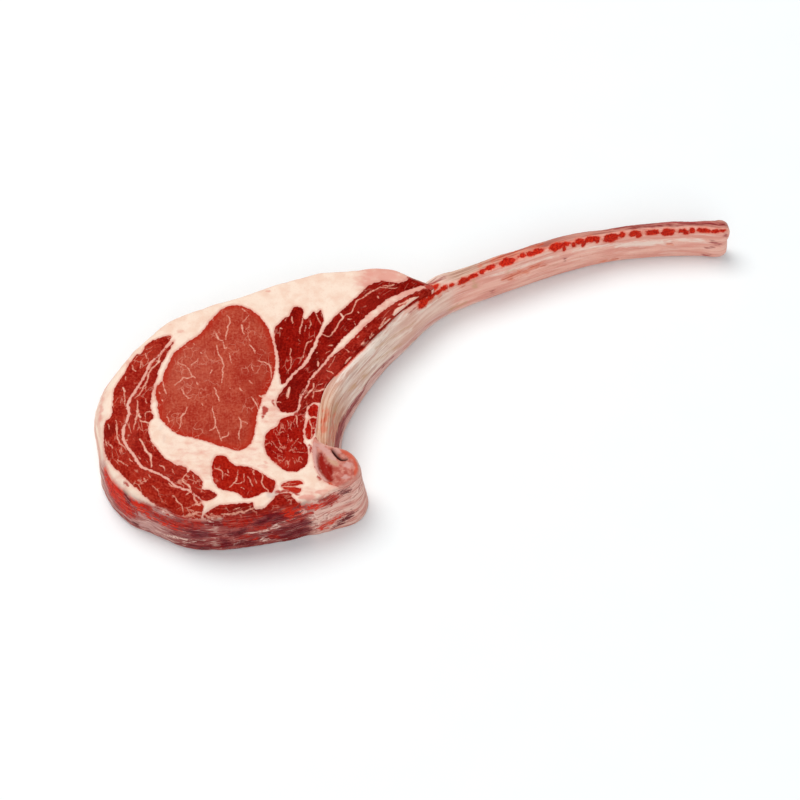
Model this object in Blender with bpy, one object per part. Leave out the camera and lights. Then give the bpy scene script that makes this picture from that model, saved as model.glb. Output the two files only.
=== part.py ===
"""Raw tomahawk rib steak, one thick slice lying flat with its long rib bone.

Metres, +Z up. The slice rests on z = 0 with its cut face up, and the rib bone runs out
to +X. The layers that show at the cut (fat, muscles, bones) run through the slice from
face to face, each as its own solid.
"""
import bpy
import bmesh
import numpy as np

# ---------------------------------------------------------------- driving dimensions
MM = 0.001
GAP = 0.3                # clearance between touching solids, mm
SLICE_THICKNESS = 44.0   # height of the cut face over the table, mm
FOOT_ROUNDING = 3.5      # rounding where the side meets the table, mm
FOOT_OF_WIDTH = 0.8      # and at most this much of the shoulder's width
SHOULDER_STEPS = 4       # facets of the rounded shoulder
OUTLINE_STEPS = 2        # facets between two points of an outline
MITRE_LIMIT = 0.5        # smallest cosine at a grown corner
CUTTER_BELOW = -6.0      # cutters run from here, mm
CUTTER_ABOVE = 60.0      # to here, mm
BONE_CORNER = 0.32       # corner radius of the rib section over its thickness

# Widest outline of the slice: x, y, shoulder drop, shoulder width, flare at the foot, mm
SLICE_OUTLINE = [
    (9.5, 62.8, 2, 1.2, 0), (4.0, 66.2, 2, 1.5, 0), (-4.0, 69.0, 3, 2.5, 0), (-18.0, 76.3, 4, 4, 0),
    (-34.0, 78.4, 4, 4, 0), (-50.0, 75.6, 4, 4, 0), (-71.5, 74.2, 4, 4, 0), (-92.8, 67.9, 4, 4, 0),
    (-113.9, 59.5, 4, 4, 0), (-134.8, 50.2, 4, 4, 0), (-155.7, 42.6, 4, 4, 0), (-176.3, 33.6, 6, 6, 0),
    (-187.0, 25.2, 7, 7, 0), (-197.0, 14.5, 9, 8, 0), (-206.6, 3.0, 11, 9, 0), (-215.4, -11.2, 14, 11, 0),
    (-222.5, -23.5, 18, 13, 0), (-227.2, -37.5, 22, 16, 0), (-227.2, -52.0, 24, 18, 0),
    (-223.6, -68.0, 26, 19, 0), (-221.0, -83.0, 27, 20, 0), (-214.5, -97.5, 28, 20, 0),
    (-201.5, -111.5, 28, 22, 0), (-184.0, -121.5, 27, 22, 0), (-165.0, -130.0, 26, 21, 0),
    (-146.0, -133.2, 21, 15, 0), (-122.0, -131.0, 16, 8, 0), (-100.0, -127.2, 13, 5, 0),
    (-83.0, -122.8, 12, 4, 0.0), (-70.0, -118.5, 6, 4, 1), (-57.0, -111.3, 4, 3, 4),
    (-48.0, -105.3, 4, 3, 5.8), (-42.8, -98.5, 4, 3, 4.6), (-43.4, -89.5, 4, 3, 4.5),
    (-50.0, -80.4, 4, 3, 3), (-60.0, -76.6, 3, 2, 1.5), (-68.5, -73.6, 2, 1.5, 0.5),
    (-73.0, -68.5, 2, 1.5, 0), (-72.4, -58.0, 2, 1.5, 0), (-71.3, -46.0, 2, 1.5, 0),
    (-69.2, -33.0, 2, 1.5, 0), (-64.5, -22.5, 2, 1.5, 0), (-51.5, -4.0, 2, 1.5, 0),
    (-36.5, 15.5, 2, 1.5, 0), (-21.5, 34.5, 2, 1.5, 0), (-6.0, 51.5, 2, 1.5, 0), (4.0, 58.6, 2, 1.2, 0),
]

# Rib bone: foot of its outer face x, y, then thickness, lean of the outer face, top height, mm
RIB_STATIONS = [
    (-57.2, -70.5, 15.0, 8.0, 42.0), (-56.6, -54.0, 14.8, 8.0, 42.0), (-55.2, -39.8, 14.6, 7.5, 42.0),
    (-50.8, -27.4, 13.8, 6.5, 42.0), (-43.0, -10.9, 13.3, 5.0, 41.0), (-33.0, 5.7, 13.1, 3.5, 39.5),
    (-22.0, 22.1, 13.3, 2.5, 38.0), (-9.6, 36.4, 14.4, 2.0, 37.0), (2.5, 50.7, 15.4, 1.0, 36.5),
    (15.2, 63.0, 15.2, 0.5, 36.0), (28.5, 71.3, 13.0, 0.0, 35.5), (44.4, 79.2, 12.2, 0.0, 35.0),
    (64.3, 88.0, 12.0, 0.0, 35.0), (86.3, 97.6, 11.4, 0.0, 34.8), (110.2, 106.8, 10.6, 0.0, 34.5),
    (136.0, 114.4, 9.6, 0.0, 34.0), (163.0, 119.4, 8.8, 0.0, 33.6), (190.0, 121.8, 8.8, 0.0, 33.4),
    (211.0, 122.6, 9.0, 0.0, 33.4), (226.8, 125.4, 8.2, 0.0, 33.0),
]
RIB_STEPS = 2            # facets between two stations
RIB_FOOT = 0.8           # height of its lower edge over the table at the meat, mm
RIB_TIP_FOOT = 2.0       # and at the tip, mm

# Cut muscles and the sawn backbone: x, y, mm
EYE = [
    (-134.6, 44), (-125.6, 42), (-117.6, 36), (-111.6, 28), (-107.6, 19), (-105.1, 9), (-103.4, -2),
    (-103.2, -14), (-106, -27), (-112, -40), (-113.6, -51), (-114.6, -62), (-116.5, -72), (-121, -77.5),
    (-126, -80), (-133, -78), (-149.6, -72), (-165.6, -67), (-174, -61), (-181.1, -51), (-183, -40),
    (-181.5, -22), (-178.6, -11), (-174, 2), (-165.6, 11), (-155.6, 19.5), (-149.5, 31), (-142.6, 40),
]
CAP_OUTER = [
    (-177, 16.5), (-187, 14), (-193.5, 9), (-196, 1.5), (-201, -1), (-207.5, -15), (-212.5, -26),
    (-214, -40), (-215.5, -52), (-219.5, -64), (-217, -80), (-208, -91), (-199, -101), (-185, -113),
    (-171, -123.5), (-160, -128), (-150, -128.5), (-150.5, -122.5), (-158, -114.5), (-168, -110),
    (-174, -104), (-190, -95), (-200, -82), (-205.3, -73), (-206, -63), (-203.5, -51), (-203.8, -40),
    (-198.5, -30), (-194.5, -17), (-188, -6), (-180.5, 6),
]
CAP_INNER = [
    (-174, 12), (-178, 3), (-182.5, -8), (-185, -20), (-186.5, -32), (-187, -46), (-184.8, -53),
    (-187.3, -58), (-186, -70), (-181, -77), (-174.5, -86.5), (-166, -91.5), (-159.8, -94), (-155, -97),
    (-148.5, -104), (-144.5, -111), (-138.3, -115.5), (-142, -119.3), (-147.5, -120), (-156, -111.8),
    (-166, -107.5), (-172, -101.6), (-188.2, -92.5), (-198, -79), (-202.8, -71), (-203.3, -62),
    (-201, -50), (-201.3, -40), (-196, -30), (-191.5, -15), (-184, -2), (-177.5, 7.5),
]
COMPLEXUS = [
    (-89, -51.5), (-97, -54), (-101, -60), (-106, -64), (-108, -72), (-105.5, -83), (-98, -92.5),
    (-90, -97), (-82.5, -94.5), (-78.5, -88), (-78.5, -78), (-81.5, -72), (-81, -59), (-82.5, -52.5),
]
MULTIFIDUS = [
    (-139.5, -84), (-134, -84.5), (-128.5, -91), (-117, -93.5), (-108, -99), (-100, -105),
    (-101.5, -113), (-106, -113), (-112, -116), (-119, -118), (-127, -113), (-138, -109),
    (-142.5, -100), (-142.3, -90),
]
SPINE_MUSCLE = [(-96, -104.5), (-89, -104), (-84, -102.5), (-81.5, -106), (-83, -113), (-90, -111.5), (-96, -108.5)]
WEDGE = [
    (-91.5, 42.5), (-85, 40), (-83.2, 33), (-78, 37), (-73, 39), (-70.5, 31), (-72.5, 23), (-77, 9),
    (-83, -6), (-90, -15), (-97.5, -25), (-99.8, -16), (-101, -2), (-103.5, 10), (-104.3, 23), (-99, 31.5),
    (-94.5, 35),
]
RIB_MUSCLE_OUTER = [
    (-102, -41), (-98, -47), (-87.5, -48), (-86, -40), (-80, -22), (-71.5, -7), (-57, 13), (-40, 35),
    (-24.5, 52.5), (-14, 57), (-3, 62.5), (4, 64.5), (4, 74), (-6, 76), (-11, 69.5), (-17.6, 65),
    (-29, 65.5), (-38, 62), (-47, 51), (-57, 39.5), (-68, 26), (-71.5, 17), (-80, -5), (-87.5, -14.5),
    (-95.5, -27), (-99.5, -34),
]
RIB_MUSCLE_INNER = [
    (-79.5, -40), (-80.8, -32), (-77, -23), (-67, -7), (-51.5, 13.5), (-35, 34), (-21, 48.5),
    (-11.5, 51), (-3, 58), (2.5, 60), (6, 55), (-2, 43), (-22, 17), (-42, -8), (-56, -24), (-65, -38),
    (-73, -42),
]
EDGE_MUSCLE = [
    (-76.5, -43), (-74, -44.5), (-73.9, -54), (-74.6, -62), (-75, -70), (-77.5, -70), (-79.2, -62),
    (-79, -55), (-78.5, -45.5),
]
FRONT_MUSCLE = [
    (-148, -152), (-147.6, -137), (-146.5, -127.5), (-137, -123.5), (-126, -122.3), (-114, -121.5),
    (-111, -126), (-105, -123.5), (-98, -115.5), (-90, -114), (-88, -119), (-84, -124), (-80, -152),
]
BACKBONE = [
    (-75, -70), (-60, -68), (-44, -72), (-34, -86), (-33, -106), (-46, -107.5), (-58, -108.5),
    (-66, -105), (-71.5, -96), (-74.5, -84),
]

# Colours of the cut layers, linear RGB
FAT_COLOUR = (0.88, 0.74, 0.62, 1.0)
MUSCLE_COLOUR = (0.36, 0.035, 0.02, 1.0)
EYE_COLOUR = (0.50, 0.085, 0.05, 1.0)
DARK_MUSCLE_COLOUR = (0.22, 0.008, 0.006, 1.0)
BONE_COLOUR = (0.64, 0.38, 0.30, 1.0)


# ------------------------------------------------------------------------- helpers
def clear_scene():
    for old in list(bpy.data.objects):
        bpy.data.objects.remove(old, do_unlink=True)


def new_collection(name):
    collection = bpy.data.collections.new(name)
    bpy.context.scene.collection.children.link(collection)
    return collection


def make_material(name, colour, roughness):
    material = bpy.data.materials.new(name)
    material.use_nodes = True
    shader = material.node_tree.nodes["Principled BSDF"]
    shader.inputs["Base Color"].default_value = colour
    shader.inputs["Roughness"].default_value = roughness
    shader.inputs["Metallic"].default_value = 0.0
    return material


def smooth_curve(points, steps, closed=True):
    """Points along a Catmull-Rom curve through the given rows of numbers."""
    rows = np.array(points, dtype=float)
    count = len(rows)
    result = []
    for i in range(count if closed else count - 1):
        ids = [i - 1, i, i + 1, i + 2]
        if closed:
            p0, p1, p2, p3 = (rows[k % count] for k in ids)
        else:
            p0, p1, p2, p3 = (rows[min(max(k, 0), count - 1)] for k in ids)
        for step in range(steps):
            t = step / steps
            result.append(0.5 * (2 * p1 + (p2 - p0) * t + (2 * p0 - 5 * p1 + 4 * p2 - p3) * t ** 2
                                 + (3 * p1 - p0 - 3 * p2 + p3) * t ** 3))
    if not closed:
        result.append(rows[-1])
    return np.array(result)


def outward_normals(plan):
    """Offset directions of a closed plan outline: a step of 1 moves both edges out by 1."""
    edge = np.roll(plan, -1, axis=0) - plan
    edge /= np.linalg.norm(edge, axis=1)[:, None]
    after = np.roll(plan, -1, axis=0)
    area = np.sum(plan[:, 0] * after[:, 1] - after[:, 0] * plan[:, 1])
    side = 1.0 if area > 0 else -1.0
    edge_normal = side * np.stack([edge[:, 1], -edge[:, 0]], axis=1)
    both = edge_normal + np.roll(edge_normal, 1, axis=0)
    both /= np.linalg.norm(both, axis=1)[:, None]
    return both / np.maximum(np.sum(both * edge_normal, axis=1), MITRE_LIMIT)[:, None]


def add_mesh_object(name, bm, collection, material=None):
    bmesh.ops.recalc_face_normals(bm, faces=bm.faces)
    mesh = bpy.data.meshes.new(name)
    bm.to_mesh(mesh)
    bm.free()
    body = bpy.data.objects.new(name, mesh)
    collection.objects.link(body)
    if material is not None:
        mesh.materials.append(material)
    return body


def loft(rings):
    """Closed body through rings of equal length (mm); its two ends are capped."""
    bm = bmesh.new()
    loops = [[bm.verts.new(point * MM) for point in ring] for ring in rings]
    count = len(loops[0])
    sides = []
    for lower, upper in zip(loops, loops[1:]):
        for i in range(count):
            j = (i + 1) % count
            sides.append(bm.faces.new((lower[i], lower[j], upper[j], upper[i])))
    bmesh.ops.triangulate(bm, faces=sides)
    bm.faces.new(loops[0])
    bm.faces.new(loops[-1])
    return bm


def prism(name, outline, grow, collection):
    """Upright cutter of a smooth plan outline, grown sideways by the given distance."""
    plan = smooth_curve(outline, OUTLINE_STEPS)
    plan = plan + outward_normals(plan) * grow
    bm = bmesh.new()
    face = bm.faces.new([bm.verts.new((x * MM, y * MM, CUTTER_BELOW * MM)) for x, y in plan])
    extruded = bmesh.ops.extrude_face_region(bm, geom=[face])
    top = [v for v in extruded["geom"] if isinstance(v, bmesh.types.BMVert)]
    bmesh.ops.translate(bm, verts=top, vec=(0, 0, (CUTTER_ABOVE - CUTTER_BELOW) * MM))
    return add_mesh_object(name, bm, collection)


def hide_cutter(body):
    body.hide_render = True
    body.display_type = "WIRE"


def add_boolean(body, operation, cutter):
    modifier = body.modifiers.new(operation.title() + "_" + cutter.name, "BOOLEAN")
    modifier.operation = operation
    modifier.solver = "EXACT"
    if isinstance(cutter, bpy.types.Collection):
        modifier.operand_type = "COLLECTION"
        modifier.collection = cutter
    else:
        modifier.object = cutter


# ---------------------------------------------------------------------- sub-parts
def build_slice_form(collection):
    """Whole slice with its slumped shoulder and flared corner, used to trim every layer."""
    rows = smooth_curve(SLICE_OUTLINE, OUTLINE_STEPS)
    plan = rows[:, :2]
    drop, width, flare = rows[:, 2], rows[:, 3], rows[:, 4]
    normal = outward_normals(plan)
    top = SLICE_THICKNESS

    def ring(offset, height):
        place = plan + normal * np.broadcast_to(offset, len(plan))[:, None]
        return np.column_stack([place, np.broadcast_to(height, len(plan))])

    foot = np.minimum(FOOT_ROUNDING, FOOT_OF_WIDTH * width)
    rings = [
        ring(flare - foot, 0.0),
        ring(flare - 0.3 * foot, 0.3 * foot),
        ring(flare, foot),
        ring(0.0, top - drop),
    ]
    for step in range(1, SHOULDER_STEPS + 1):
        angle = 0.5 * np.pi * step / SHOULDER_STEPS
        rings.append(ring(-width * (1 - np.cos(angle)), top - drop * (1 - np.sin(angle))))
    form = add_mesh_object("slice_form", loft(rings), collection)
    hide_cutter(form)
    return form


def rib_section(foot, normal, thickness, lean, low, high, grow, reach):
    """One upright section of the rib: rounded corners, or square and grown as a socket."""
    inner = -thickness - grow
    outer = grow
    top_outer = -lean + grow
    bottom = low - reach
    top = high + grow
    corner = 0.0 if reach else BONE_CORNER * thickness
    corners = [
        ((outer, bottom), (-1, 0), (0, 1)), ((top_outer, top), (0, -1), (-1, 0)),
        ((inner, top), (1, 0), (0, -1)), ((inner, bottom), (0, 1), (1, 0)),
    ]
    points = []
    for (across, up), first, last in corners:
        for step in range(4 if corner else 1):
            t = step / 3
            a = corner * (1 - np.sin(0.5 * np.pi * t))
            b = corner * (1 - np.cos(0.5 * np.pi * t))
            s = across + first[0] * a + last[0] * b
            z = up + first[1] * a + last[1] * b
            points.append(np.array([foot[0] + normal[0] * s, foot[1] + normal[1] * s, z]))
    return points


def build_rib(name, grow, reach, collection, material=None):
    rows = smooth_curve(RIB_STATIONS, RIB_STEPS, closed=False)
    foot = rows[:, :2]
    tangent = np.gradient(foot, axis=0)
    tangent /= np.linalg.norm(tangent, axis=1)[:, None]
    normal = np.stack([tangent[:, 1], -tangent[:, 0]], axis=1)
    run = np.linspace(0.0, 1.0, len(rows))
    rings = []
    for i, (x, y, thickness, lean, high) in enumerate(rows):
        place = foot[i]
        if reach and i == 0:
            place = place - tangent[i] * grow
        low = RIB_FOOT + (RIB_TIP_FOOT - RIB_FOOT) * run[i]
        rings.append(rib_section(place, normal[i], thickness, lean, low, high, grow, reach))
    return add_mesh_object(name, loft(rings), collection, material)


def build_muscle(name, outline, form, socket, parts, sockets, material):
    """A muscle cut right through: its prism trimmed to the slice, and its socket in the fat."""
    muscle = prism(name, outline, 0.0, parts)
    muscle.data.materials.append(material)
    add_boolean(muscle, "INTERSECT", form)
    add_boolean(muscle, "DIFFERENCE", socket)
    hide_cutter(prism(name + "_socket", outline, GAP, sockets))
    return muscle


def build_fat(form, sockets, rib_socket, parts, material):
    """Everything of the slice between the muscles and the bones."""
    body = bpy.data.objects.new("fat_body", form.data.copy())
    body.data.materials.append(material)
    parts.objects.link(body)
    add_boolean(body, "DIFFERENCE", sockets)
    add_boolean(body, "DIFFERENCE", rib_socket)
    return body


def main():
    clear_scene()
    parts = new_collection("tomahawk_steak")
    cutters = new_collection("cutters")
    sockets = bpy.data.collections.new("muscle_sockets")
    cutters.children.link(sockets)

    fat = make_material("fat", FAT_COLOUR, 0.45)
    muscle = make_material("muscle", MUSCLE_COLOUR, 0.4)
    eye = make_material("eye_muscle", EYE_COLOUR, 0.4)
    dark_muscle = make_material("dark_muscle", DARK_MUSCLE_COLOUR, 0.4)
    bone = make_material("bone", BONE_COLOUR, 0.5)

    form = build_slice_form(cutters)
    build_rib("rib_bone", 0.0, 0.0, parts, bone)
    rib_socket = build_rib("rib_socket", GAP, RIB_FOOT - CUTTER_BELOW, cutters)
    hide_cutter(rib_socket)

    layers = [
        ("eye_muscle", EYE, eye), ("cap_muscle_outer", CAP_OUTER, muscle),
        ("cap_muscle_inner", CAP_INNER, muscle), ("complexus_muscle", COMPLEXUS, muscle),
        ("multifidus_muscle", MULTIFIDUS, muscle), ("spine_muscle", SPINE_MUSCLE, muscle),
        ("wedge_muscle", WEDGE, dark_muscle), ("rib_muscle_outer", RIB_MUSCLE_OUTER, dark_muscle),
        ("rib_muscle_inner", RIB_MUSCLE_INNER, dark_muscle), ("edge_muscle", EDGE_MUSCLE, muscle),
        ("front_muscle", FRONT_MUSCLE, muscle), ("backbone", BACKBONE, bone),
    ]
    for name, outline, material in layers:
        build_muscle(name, outline, form, rib_socket, parts, sockets, material)
    build_fat(form, sockets, rib_socket, parts, fat)


main()
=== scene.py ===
import math
import bpy
import numpy as np
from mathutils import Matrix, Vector
from mathutils.geometry import delaunay_2d_cdt
from mathutils.kdtree import KDTree


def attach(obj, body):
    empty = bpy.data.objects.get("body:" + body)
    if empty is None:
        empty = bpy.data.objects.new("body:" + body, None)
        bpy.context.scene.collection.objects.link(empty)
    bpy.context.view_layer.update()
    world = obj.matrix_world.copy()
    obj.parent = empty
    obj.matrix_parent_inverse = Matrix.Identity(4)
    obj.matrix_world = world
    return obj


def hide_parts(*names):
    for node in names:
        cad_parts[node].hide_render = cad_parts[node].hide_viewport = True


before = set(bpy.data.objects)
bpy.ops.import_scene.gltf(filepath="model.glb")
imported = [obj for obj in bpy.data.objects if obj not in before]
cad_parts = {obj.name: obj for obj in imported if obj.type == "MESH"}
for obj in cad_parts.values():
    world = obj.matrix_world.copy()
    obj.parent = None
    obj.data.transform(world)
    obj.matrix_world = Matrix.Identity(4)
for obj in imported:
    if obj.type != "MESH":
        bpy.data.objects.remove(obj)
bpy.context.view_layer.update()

MM = 0.001

# ------------------------------------------------------------------ driving dimensions
THICKNESS = 44.0         # cut face over the table
TAIL_SAG = 4.0           # the thin end of the slice sinks by this much
TAIL_FROM, TAIL_TO = -45.0, 5.0
TOP_STEP = 0.72          # spacing of the points on the cut face
LOOP_STEP = 0.70         # spacing along muscle borders
RIM_STEP = 1.0           # spacing along the rim
FOOT_STEP = 3.0          # spacing of the points under the slice
TOP_SEED, FOOT_SEED = 1, 2
FOOT_LIFT, FOOT_LIFTS = 0.3, (2.0, 8.0)     # height of the underside, reached this far from its edge
LOOP_GAP, OPEN_GAP = 0.8, 0.6       # borders stay this far inside the rim
JITTER, CLEARANCE = 0.16, 0.6       # of the loose points, as shares of their spacing
END_FADE = 4.0           # a border that ends at the rim is straighter over this length
SHOULDER_START = math.radians(35)   # the cut face ends here on the rounded shoulder
WALL_ROWS = 38           # rows of the outer wall, rim to foot
SHOULDER_POINTS, UPRIGHT_POINTS, FOOT_POINTS = 12, 24, 7    # its profile before it is spaced
SHARP_WIDTH = 2.0        # a shoulder no wider than this goes with an upright wall
WALL_BULGE = 0.4
ROUND_WIDTH = 1.6        # the relief of the wall begins with shoulders wider than this
WIDE_SHOULDER = 3.0      # and is full from this width on
RELIEF_IN, RELIEF_OUT = 2.5, 3.0    # it fades in below the rim and out above the foot over these
FOOT_INSET = 3.2         # rounding where the wall meets the table
FOOT_RISE = 3.6          # the rounding starts this high
RIM_FADE = 3.0           # relief fades out this close to the rim
FAT_SWELL, MEAT_SWELL = 4.0, 9.0    # a piece swells over this distance from its border
SWELL_LIMIT = 1.15       # no swelling rises higher than this over the cut face
CREASE, CREASE_WIDTH = 0.5, 0.7     # furrow along every border
REACH = 6.0              # marks are measured out to this distance
LINE_STEPS, LINE_TAPER = 3, 0.5     # curve steps of a drawn line, and how much its ends narrow
CURVE_STEPS = 12         # curve steps between two points of an outline
SPOT_CORE = 0.45         # a spot has its full strength out to this share of its radii
LUMP_TABLE = 64          # random heights along one side of a field of lumps


def rows(text):
    """Rows of numbers, written 'x,y x,y ...'."""
    return [tuple(float(number) for number in row.split(",")) for row in text.split()]


def lines(text):
    """Tapered lines, written 'half width: x,y x,y ...; half width: ...'."""
    marks = [mark.split(":") for mark in text.split(";")]
    return [(float(half_width), rows(route)) for half_width, route in marks]


# Widest outline of the slice: x, y, shoulder drop, shoulder width, flare at the foot
SLICE_OUTLINE = rows("""
    8,62.6,2,1.2,0 3,66.8,2,1.5,0 -4.5,70.8,3,2.5,0 -18,77.6,4,4,0 -34,79.4,4,4,0 -50,76.4,4,4,0
    -71.5,74.2,4,4,0 -92.8,67.9,4,4,0 -113.9,59.5,4,4,0 -134.8,50.2,4,4,0 -155.7,42.6,4,4,0
    -176.3,33.6,6,6,0 -187,25.2,7,7,0 -197,14.5,9,8,0 -206.6,3,11,9,0 -215.4,-11.2,14,11,0
    -222.5,-23.5,18,13,0 -227.2,-37.5,22,16,0 -227.2,-52,24,18,0 -223.6,-68,26,19,0 -221,-83,27,20,0
    -214.5,-97.5,28,20,0 -201.5,-111.5,28,22,0 -184,-121.5,27,22,0 -165,-130,26,21,0 -146,-133.2,21,15,0
    -122,-131,16,8,0 -100,-127.2,13,5,0 -83,-122.8,12,4,0 -70,-118.5,6,4,1 -57,-111.3,4,3,4
    -48,-105.3,4,3,5.8 -42.8,-98.5,4,3,4.6 -43.4,-89.5,4,3,4.5 -50,-80.4,4,3,3 -60,-76.6,3,2,1.5
    -68.5,-73.6,2,1.5,0.5 -73,-68.5,2,1.5,0 -72.4,-58,2,1.5,0 -71.3,-46,2,1.5,0 -69.2,-33,2,1.5,0
    -64.5,-22.5,2,1.5,0 -51.5,-4,2,1.5,0 -36.5,15.5,2,1.5,0 -21.5,34.5,2,1.5,0 -6,51.5,2,1.5,0
    4,58.6,2,1.2,0
""")
# Rib bone: foot of its outer face x, y, then thickness, lean of the outer face, top height
RIB_STATIONS = rows("""
    -57.2,-70.5,15,8,42 -56.6,-54,14.8,8,42 -55.2,-39.8,14.6,7.5,42 -50.8,-27.4,13.8,6.5,42
    -43,-10.9,13.3,5,41 -33,5.7,13.1,3.5,39.5 -22,22.1,13.3,2.5,38 -9.6,36.4,14.4,2,37 2.5,50.7,15.4,1,36.5
    15.2,63,15.2,0.5,36 28.5,71.3,13,0,35.5 44.4,79.2,12.2,0,35 64.3,88,12,0,35 86.3,97.6,11.4,0,34.8
    110.2,106.8,10.6,0,34.5 136,114.4,9.6,0,34 163,119.4,8.8,0,33.6 190,121.4,9.2,0,33.4
    206,121.4,10.2,0,33.5 218,120,12.6,0,33.6 226.8,121.6,11.6,0,33.4
""")

# Borders of the cut muscles that lie inside the slice: x, y
EYE = rows("""
    -134.6,44 -125.6,42 -117.6,36 -111.6,28 -107.6,19 -105.1,9 -103.4,-2 -103.2,-14 -106,-27 -108.5,-33
    -112,-40 -113.6,-51 -114.6,-62 -116.5,-72 -121,-77.5 -126,-80 -133,-78 -149.6,-72 -165.6,-67 -174,-61
    -181.1,-51 -183,-40 -184.6,-32 -183.5,-26 -181.2,-22.5 -178.6,-11 -174,2 -165.6,11 -155.6,19.5
    -149.5,31 -142.6,40
""")
CAP_OUTER = rows("""
    -177,16.5 -187,14 -193.5,9 -196,1.5 -201,-1 -207.5,-15 -211.8,-24 -213.6,-32 -213.4,-40 -213.2,-48
    -214.4,-52.4 -217.6,-54 -218.6,-59 -218.4,-69.4 -216.5,-77.5 -211.8,-86.3 -203.4,-96.4 -197.5,-102.6
    -188.5,-111 -178.5,-118.6 -169.8,-124 -163.2,-127.2 -156,-130 -149,-131.2 -148.2,-127 -147.9,-121.4
    -156.9,-112.9 -166.6,-108.6 -172.6,-102.9 -189.1,-94 -199.2,-80.8 -204.4,-72.2 -205.2,-62.8 -203.1,-51
    -203.4,-40 -199.3,-30 -194.3,-17 -190.3,-6 -181.3,6
""")
CAP_INNER = rows("""
    -174,12.5 -178,3 -182.5,-8 -185,-20 -187,-32 -187,-46 -184.8,-53 -187.3,-58 -186,-70 -181,-77
    -174.5,-86.5 -171,-88.6 -166,-91.5 -159.8,-93.4 -159.2,-97.5 -155.8,-96.5 -148.5,-104 -148.6,-110.4
    -144.5,-111.5 -138.3,-115.5 -142,-119.3 -147.5,-120 -156,-111.8 -166,-107.5 -172,-101.6 -188.2,-92.5
    -198,-79 -202.8,-71 -203.3,-62 -201,-50 -201.3,-40 -197.4,-30 -192.2,-16 -188.4,-6 -179.6,6
""")
COMPLEXUS = rows("""
    -89,-50.8 -97,-53.5 -101,-60 -106,-64 -108,-72 -106,-83 -98,-92.5 -90,-97 -82.5,-94.5 -78.5,-88
    -78.5,-78 -81.6,-71.6 -81.8,-60 -81.2,-54 -84,-51.8
""")
MULTIFIDUS = rows("""
    -139.5,-84 -134,-84.5 -128.5,-91 -117,-93.5 -108,-99 -100,-105 -101.5,-113 -106,-113 -112,-116
    -119,-118 -127,-113 -138,-109 -142.5,-100 -142.3,-90
""")
SPINE_MUSCLE = rows("""
    -95.5,-107 -91,-104.6 -88.3,-103.9 -83.2,-104.3 -80.9,-106.2 -84.2,-107.6 -86.4,-109 -82.6,-110.6
    -83.6,-113.6 -88,-112.9 -94.4,-110.6
""")
WEDGE = rows("""
    -91.5,42.5 -85,40 -84.4,33 -82,32 -80.4,33.5 -78,38.5 -75.5,37 -72.8,39.6 -70.5,31 -72.5,23 -77,9
    -83,-6 -90,-15 -97.5,-25 -99.8,-16 -101,-2 -103.5,10 -104.3,23 -99,31.5 -94.5,35
""")
EDGE_MUSCLE = rows("""
    -75.2,-41.4 -72.6,-43.2 -71.9,-47 -72.6,-50.6 -73.8,-52.6 -72.6,-54.6 -72.6,-60 -73.8,-64.6 -75.6,-69
    -77.8,-70.4 -80.2,-68.2 -80.4,-61.3 -79.2,-55.4 -77.2,-52.9 -78.6,-50.4 -79.2,-46.8 -77.9,-43
""")
# Borders that run from the rim to the rim, so these pieces show in the outer wall too
RIB_MUSCLE_OUTER = rows("""
    -10,73.6 -11,69.5 -17.6,65.9 -29,66.2 -38,62 -47,51 -57,39.5 -68,26 -71.5,17 -80,-5 -87.5,-14.5
    -95.5,-27 -99.5,-34 -101,-41 -98,-46.8 -92,-48.6 -88,-47.8 -86.3,-44 -85.6,-38.6 -83.2,-33 -81.2,-27
    -77.8,-18.5 -72.9,-12 -69.8,-7.4 -66.5,-1.2 -63.2,3.6 -58.8,10.5 -54.2,17.2 -49.2,23.4 -44,29.6 -38,37
    -32,43.5 -26.8,49 -20.5,54 -13.2,58.5 -6,62 0.5,64.4 5,65.8
""")
RIB_MUSCLE_INNER = rows("""
    6,61 1.5,62 -4,59 -10.8,54.5 -17.5,50 -23.2,45 -28,39.6 -34,33 -40.1,26.6 -45.2,19.9 -50.2,14.1
    -55.6,7.7 -61.2,1.7 -65,-2.5 -68.7,-8.3 -71.8,-12.9 -76.5,-19.3 -79.9,-26.8 -82.1,-33.2 -84.4,-39
    -84.8,-44 -86.2,-49.2 -83,-50.4 -80.9,-49.6 -80.5,-46.4 -79.2,-42.6 -75.6,-40.1 -70.6,-41.2
""")
FRONT_MUSCLE = rows("""
    -144.5,-133 -146.2,-130.5 -146.6,-127.5 -137,-123.8 -126,-122.6 -115,-121.6 -113,-124.5 -110,-125.6
    -105,-123.5 -98,-115.5 -90,-114 -87.6,-117.5 -84.6,-120.6 -82,-122.5
""")
BACKBONE = rows("""
    -73,-68.6 -75,-72 -75.2,-84 -72.4,-96 -66.5,-104.4 -59,-108.6 -55,-110.3
""")

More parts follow.
